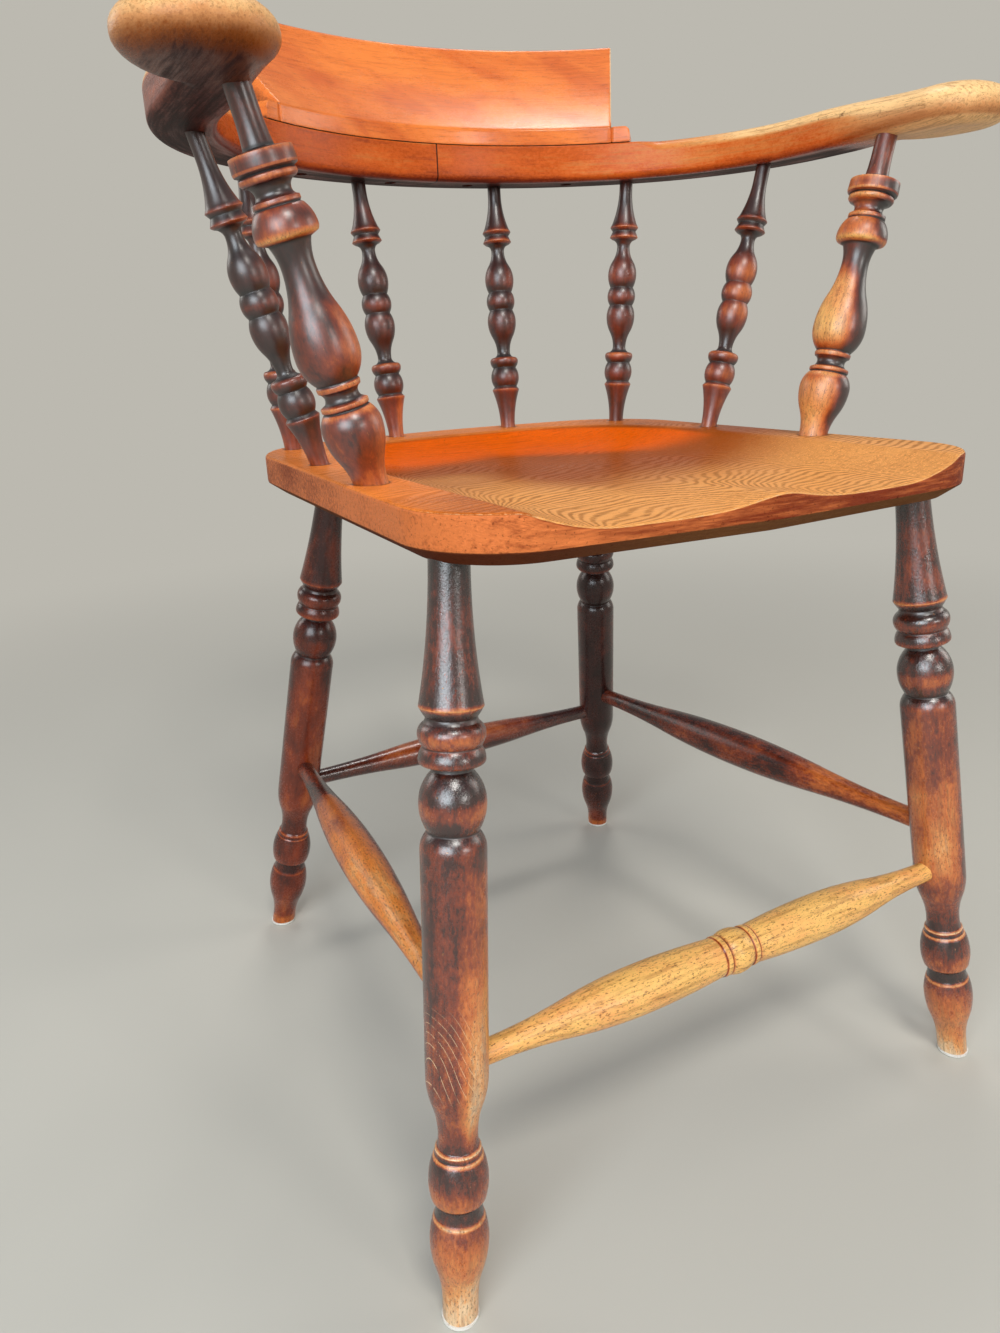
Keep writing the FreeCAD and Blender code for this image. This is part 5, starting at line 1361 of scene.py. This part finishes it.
def crest_mesh():
    """The section swept to one end with its eased edge, step and foot, and mirrored to the other."""
    section = crest_section()
    end_round, foot_round = CREST_END_ROUND / CREST_MIDDLE, CREST_FOOT_ROUND / CREST_MIDDLE
    rows = [(angle, section) for angle in np.linspace(0, CREST_TURN - end_round, 60)]
    for turn in np.linspace(0, math.pi / 2, 5)[1:]:
        inset = CREST_END_ROUND * (1 - math.cos(turn))
        rows.append((CREST_TURN - end_round * (1 - math.sin(turn)), shrunk(section, inset)))
    rows.append((CREST_TURN, cut_down(rows[-1][1], CREST_FOOT)))
    drop_from = CREST_FOOT_TURN - foot_round
    rows += [(angle, cut_down(section, CREST_FOOT)) for angle in np.linspace(CREST_TURN, drop_from, 7)[1:]]
    for turn in np.linspace(0, math.pi / 2, 8)[1:]:
        height = CREST_FOOT - CREST_FOOT_ROUND * (1 - math.cos(turn))
        rows.append((drop_from + foot_round * math.sin(turn), cut_down(section, height)))
    rows = [(-angle, line) for angle, line in rows[:0:-1]] + rows
    points = []
    for angle, line in rows:
        reach, height = line.T
        plan = reach * math.sin(angle), BACK_CENTRE[1] + reach * math.cos(angle)
        points.append(np.column_stack((*plan, BOW_TOP + height)))
    columns = len(section)
    faces = grid_faces(len(rows), columns, closed=True)
    last = (len(rows) - 1) * columns
    faces += [list(range(columns)), list(range(last + columns - 1, last - 1, -1))]
    return solid_mesh("crest_rail", np.vstack(points), faces, sharp=42)


class CHAIR_OT_crest(bpy.types.Operator):
    """Shape the leaning crest"""
    bl_idname = "chair.crest"
    bl_label = "Crest"

    def execute(self, context):
        mesh = crest_mesh()
        piece = new_piece("crest_rail", mesh)
        points = mesh_points(mesh)
        angle = np.arctan2(points[:, 0], points[:, 1] - BACK_CENTRE[1])
        reach = np.hypot(points[:, 0], points[:, 1] - BACK_CENTRE[1])
        height = points[:, 2] - BOW_TOP
        edge = np.exp(-((angle - CREST_TURN) * CREST_MIDDLE / 1.4) ** 2) * smooth_step(height, 14, 18)
        top = smooth_step(height, CREST_TALL - 1.2, CREST_TALL)
        # Dark paint at the base seam and at the step to each foot: grime and painted shade.
        seam = np.exp(-(height / 0.7) ** 2)
        step = np.exp(-((np.abs(angle) - CREST_TURN) * CREST_MIDDLE / 3) ** 2)
        step = step * np.exp(-((height - CREST_FOOT) / 1.5) ** 2)
        paint(mesh, grain=np.column_stack((angle * CREST_MIDDLE, height, reach)),
              wear=0.75 * edge + 0.2 * top, grime=np.clip(0.8 * seam + 0.6 * step, 0, 1))
        settle(piece, crest_finish(), "crest_wood", "crest_rail")
        return {"FINISHED"}


class CHAIR_OT_fixings(bpy.types.Operator):
    """Finish the crest screws and the dowels of the centre joint"""
    bl_idname = "chair.fixings"
    bl_label = "Fixings"

    def execute(self, context):
        steel = plain_finish("screw_steel", colours().steel, (1.2, 1.2, 0.3), 0.6, (0.5, 0.7, 0.55),
                             (0.38, 0.4), 0.0001, metal=1.0)
        beech = plain_finish("dowel_beech", colours().bare, (0.05, 0.9, 0.9), 0.6, (0.42, 0.68, 0.6),
                             (0.55, 0.3), 0.0002)
        for node, finish in (("crest_screws", steel), ("arm_joint_dowels", beech)):
            for material_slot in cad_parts[node].material_slots:
                material_slot.material = finish
        return {"FINISHED"}


# Stage: floor, background, lamps and the camera. Its places are in metres.
FLOOR_REACH = 9000
SKY_TINT, SKY_STRENGTH = (0.93, 0.96, 1.0), 0.24
BACKDROP_FADE = (0.3, 0.55)
WARM_WHITE = (1.0, 0.98, 0.95)
# Each lamp: its name, place, the height that it aims at, its sides, its power and its tint.
LAMPS = (
    ("window", (-2.0, -1.7, 1.4), 0.5, (1.8, 1.3), 58, (0.84, 0.93, 1.0)),
    ("front_top", (-0.4, -1.7, 2.5), 0.5, (0.7, 0.5), 32, (1.0, 0.98, 0.93)),
    ("skylight", (0.5, 0.65, 2.66), 0.5, (0.5, 0.5), 13, WARM_WHITE),
    ("fill", (0.66, -2.7, 1.13), 0.6, (0.5, 0.5), 12, WARM_WHITE),
    ("right_fill", (2.4, -0.6, 1.3), 0.5, (1.0, 1.2), 12, (1.0, 0.96, 0.9)),
    ("back_fill", (-1.7, 2.3, 1.7), 0.5, (1.2, 1.2), 12, WARM_WHITE),
)
CAMERA_PLACE = (-0.3921, -0.6406, 0.5726)
CAMERA_TURN = tuple(math.radians(angle) for angle in (27.73, -19.07, -2.28))
SENSOR = 36
FOCAL_PIXELS, PICTURE_HEIGHT_PIXELS = 959.33, 1333


def soft_panel(name, place, aim_height, sides, power, tint):
    """A rectangular lamp that points at the middle of the chair."""
    lamp = bpy.data.lights.new(name, "AREA")
    lamp.shape = "RECTANGLE"
    lamp.size, lamp.size_y = sides
    lamp.energy = power
    lamp.color = tint
    panel = new_piece(name, lamp)
    panel.location = place
    aim = Vector((0, 0, aim_height)) - Vector(place)
    panel.rotation_euler = aim.to_track_quat("-Z", "Y").to_euler()


def studio_world():
    """Dim sky, with the plain background in its lower part for the rays that are seen."""
    world = bpy.data.worlds.new("studio")
    world.use_nodes = True
    nodes = Tree(world.node_tree)
    light = nodes.tree.nodes["Background"]
    nodes.put(light.inputs["Color"], SKY_TINT)
    nodes.put(light.inputs["Strength"], SKY_STRENGTH)
    backdrop = nodes.add("ShaderNodeBackground", {"Color": colours().backdrop})
    rise = nodes.part(nodes.add("ShaderNodeTexCoord", {}, "Generated"), 2)
    low = nodes.add("ShaderNodeMapRange", {0: rise, 1: BACKDROP_FADE[0], 2: BACKDROP_FADE[1], 3: 1.0, 4: 0.0})
    share = nodes.times(nodes.in_view(), low)
    blend = nodes.add("ShaderNodeMixShader", {0: share, 1: light.outputs[0], 2: backdrop})
    nodes.put(nodes.tree.nodes["World Output"].inputs["Surface"], blend)
    return world


def camera_frame():
    """The camera's place and directions, from its yaw, pitch and roll."""
    yaw, pitch, roll = CAMERA_TURN
    ahead = Vector((math.sin(yaw) * math.cos(pitch), math.cos(yaw) * math.cos(pitch), math.sin(pitch)))
    right = Vector((math.cos(yaw), -math.sin(yaw), 0))
    up = right.cross(ahead)
    across = right * math.cos(roll) + up * math.sin(roll)
    upward = up * math.cos(roll) - right * math.sin(roll)
    turn = Matrix((across, upward, -ahead)).transposed().to_4x4()
    return Matrix.Translation(CAMERA_PLACE) @ turn


class CHAIR_OT_stage(bpy.types.Operator):
    """Set the plain floor, the soft light and the camera"""
    bl_idname = "chair.stage"
    bl_label = "Stage"

    def execute(self, context):
        scene = context.scene
        scene.view_settings.view_transform = "Standard"
        reach = np.linspace(-FLOOR_REACH, FLOOR_REACH, 3)
        points = [(x, y, 0) for y in reach for x in reach]
        mesh = bpy.data.meshes.new("floor")
        mesh.from_pydata((np.array(points) * MM).tolist(), [], grid_faces(3, 3))
        mesh.materials.append(floor_finish())
        new_piece("floor", mesh)
        scene.world = studio_world()
        for lamp in LAMPS:
            soft_panel(*lamp)
        lens = bpy.data.cameras.new("view")
        lens.sensor_width = SENSOR
        lens.lens = FOCAL_PIXELS / PICTURE_HEIGHT_PIXELS * SENSOR
        lens.clip_start, lens.clip_end = 0.01, 60
        scene.camera = new_piece("view", lens)
        scene.camera.matrix_world = camera_frame()
        return {"FINISHED"}


class CHAIR_PT_panel(bpy.types.Panel):
    """Lists the chair's pieces, sizes and colours"""
    bl_idname = "CHAIR_PT_panel"
    bl_label = "Windsor captains chair"
    bl_space_type = "VIEW_3D"
    bl_region_type = "UI"
    bl_category = "Chair"

    def draw(self, context):
        for operator in OPERATORS:
            self.layout.operator(operator.bl_idname)
        for group in (context.scene.chair_sizes, context.scene.chair_colours):
            box = self.layout.box()
            for name in group.__annotations__:
                box.prop(group, name)


OPERATORS = (CHAIR_OT_seat, CHAIR_OT_legs, CHAIR_OT_foot_pads, CHAIR_OT_stretchers, CHAIR_OT_spindles,
             CHAIR_OT_arms, CHAIR_OT_crest, CHAIR_OT_fixings, CHAIR_OT_stage)
CLASSES = (ChairSizes, ChairColours, *OPERATORS, CHAIR_PT_panel)


def register():
    """Make the operators, the panel and the settings known."""
    for item in CLASSES:
        bpy.utils.register_class(item)
    bpy.types.Scene.chair_sizes = PointerProperty(type=ChairSizes)
    bpy.types.Scene.chair_colours = PointerProperty(type=ChairColours)


def unregister():
    """Take them away again."""
    del bpy.types.Scene.chair_colours
    del bpy.types.Scene.chair_sizes
    for item in reversed(CLASSES):
        bpy.utils.unregister_class(item)


def main():
    """Build every piece and the stage."""
    register()
    for operator in OPERATORS:
        group, call = operator.bl_idname.split(".")
        getattr(getattr(bpy.ops, group), call)()


if __name__ == "__main__":
    main()
